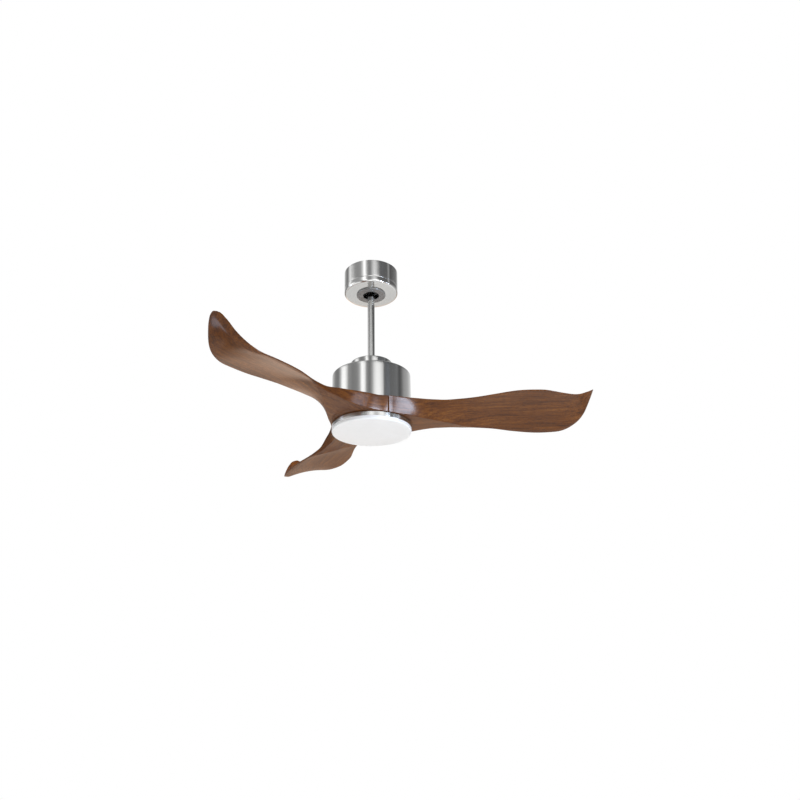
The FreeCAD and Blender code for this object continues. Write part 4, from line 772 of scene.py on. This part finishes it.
def studioFloor():
    # A plain pale floor far below the fan.
    half = studio["floorSize"] / 2
    corners = np.array([[-half, -half], [half, -half], [half, half], [-half, half]])
    mesh = bpy.data.meshes.new("studioFloor")
    mesh.from_pydata([(x, y, -studio["floorDepth"]) for x, y in corners], [], [(0, 1, 2, 3)])
    floor = bpy.data.objects.new("studioFloor", mesh)
    bpy.context.scene.collection.objects.link(floor)
    material = newMaterial("paleFloor", Roughness=studio["floorRoughness"],
                           Base_Color=linear(studio["floorColour"]))[0]
    mesh.materials.append(material)


def areaLight(name, place, target, width, height, brightness, colour="#FFFFFF"):
    # A soft box: a rectangle that faces a point. Power is brightness times pi times its area.
    lamp = bpy.data.lights.new(name, "AREA")
    lamp.shape, lamp.size, lamp.size_y = "RECTANGLE", width, height
    lamp.energy = brightness * math.pi * width * height
    lamp.color = linear(colour)[:3]
    box = bpy.data.objects.new(name, lamp)
    bpy.context.scene.collection.objects.link(box)
    box.location = place
    box.rotation_euler = (Vector(target) - Vector(place)).to_track_quat("-Z", "Y").to_euler()
    return box


def studioLights():
    aim = studio["lowBoxAim"]
    for index, (azimuth, elevation, distance, width, height, brightness) in enumerate(studio["lowBoxes"]):
        turn, lift = math.radians(azimuth), math.radians(elevation)
        place = (distance * math.cos(lift) * math.sin(turn), -distance * math.cos(lift) * math.cos(turn),
                 aim + distance * math.sin(lift))
        areaLight(f"lowBox{index + 1}", place, (0, 0, aim), width, height, brightness,
                  studio["lowBoxColour"])
    size = studio["overheadSize"]
    overhead = areaLight("overhead", (0, 0, studio["overheadHeight"]), (0, 0, 0), size, size,
                         studio["overheadBrightness"])
    overhead.visible_glossy = False


def studioWorld():
    # The backdrop is plain white. What the surfaces mirror is a grey room with bright and dark stretches
    # round it, which differ from one band of height to the next; the lowest band is warmer behind.
    world = bpy.data.worlds.new("studioWorld")
    bpy.context.scene.world = world
    world.use_nodes = True
    tree = world.node_tree
    backdrop = tree.nodes["Background"]
    place = addNode(tree, "ShaderNodeTexCoord")
    split = addNode(tree, "ShaderNodeSeparateXYZ", None, {"Vector": place.outputs["Generated"]})
    minusY = addNode(tree, "ShaderNodeMath", {"operation": "MULTIPLY"}, {0: split.outputs["Y"], 1: -1})
    azimuth = addNode(tree, "ShaderNodeMath", {"operation": "ARCTAN2"}, {
        0: split.outputs["X"], 1: minusY.outputs["Value"]})
    turn = addNode(tree, "ShaderNodeMapRange", None, {
        "Value": azimuth.outputs["Value"], "From Min": -math.pi, "From Max": math.pi})
    high, upper, lower = [
        addNode(tree, "ShaderNodeValToRGB", None, {"Fac": turn.outputs["Result"]},
                [(angle / 360 + 0.5, share) for angle, share in studio[band]]).outputs["Color"]
        for band in ("high", "upper", "lower")]
    behind = addNode(tree, "ShaderNodeMapRange", None, {
        "Value": split.outputs["Y"], "From Min": studio["warmFade"][0], "From Max": studio["warmFade"][1]})
    warm = addNode(tree, "ShaderNodeMix", {"data_type": "RGBA", "blend_type": "MULTIPLY"}, {
        "Factor": behind.outputs["Result"], "A": lower, "B": linear(studio["warmBehind"])})
    room = high
    for fade, band in ((studio["upperFade"], upper), (studio["lowerFade"], warm.outputs["Result"])):
        lowest, highest = (math.sin(math.radians(elevation)) for elevation in fade)
        above = addNode(tree, "ShaderNodeMapRange", {"interpolation_type": "SMOOTHSTEP"}, {
            "Value": split.outputs["Z"], "From Min": lowest, "From Max": highest})
        layer = addNode(tree, "ShaderNodeMix", {"data_type": "RGBA"}, {
            "Factor": above.outputs["Result"], "A": band, "B": room})
        room = layer.outputs["Result"]
    scaled = addNode(tree, "ShaderNodeVectorMath", {"operation": "SCALE"}, {
        0: room, "Scale": studio["roomBrightness"]})
    path = addNode(tree, "ShaderNodeLightPath")
    shown = addNode(tree, "ShaderNodeMix", {"data_type": "RGBA"}, {
        "Factor": path.outputs["Is Camera Ray"], "A": scaled.outputs["Vector"], "B": (1, 1, 1, 1)})
    tree.links.new(shown.outputs["Result"], backdrop.inputs["Color"])


def camera():
    # A camera 2.2 m from the fan's axis and 1.37 m below the ceiling, tilted up at the fan.
    view = {"distance": 2.226, "drop": 1.374, "pitch": 0.345, "roll": -0.004, "lens": 35.56,
            "sensor": 36.0, "shift": (0.0354, 0.0512), "nearest": 0.05}
    lens = bpy.data.cameras.new("camera")
    lens.lens = view["lens"]
    lens.sensor_width = view["sensor"]
    lens.shift_x, lens.shift_y = view["shift"]
    lens.clip_start = view["nearest"]
    eye = bpy.data.objects.new("camera", lens)
    bpy.context.scene.collection.objects.link(eye)
    eye.matrix_world = (Matrix.Translation((0, -view["distance"], -view["drop"]))
                        @ Matrix.Rotation(math.pi / 2 + view["pitch"], 4, "X")
                        @ Matrix.Rotation(view["roll"], 4, "Z"))
    bpy.context.scene.camera = eye


studioFloor()
studioLights()
studioWorld()
camera()
bpy.context.scene.view_settings.view_transform = "Standard"
print("studio ready")
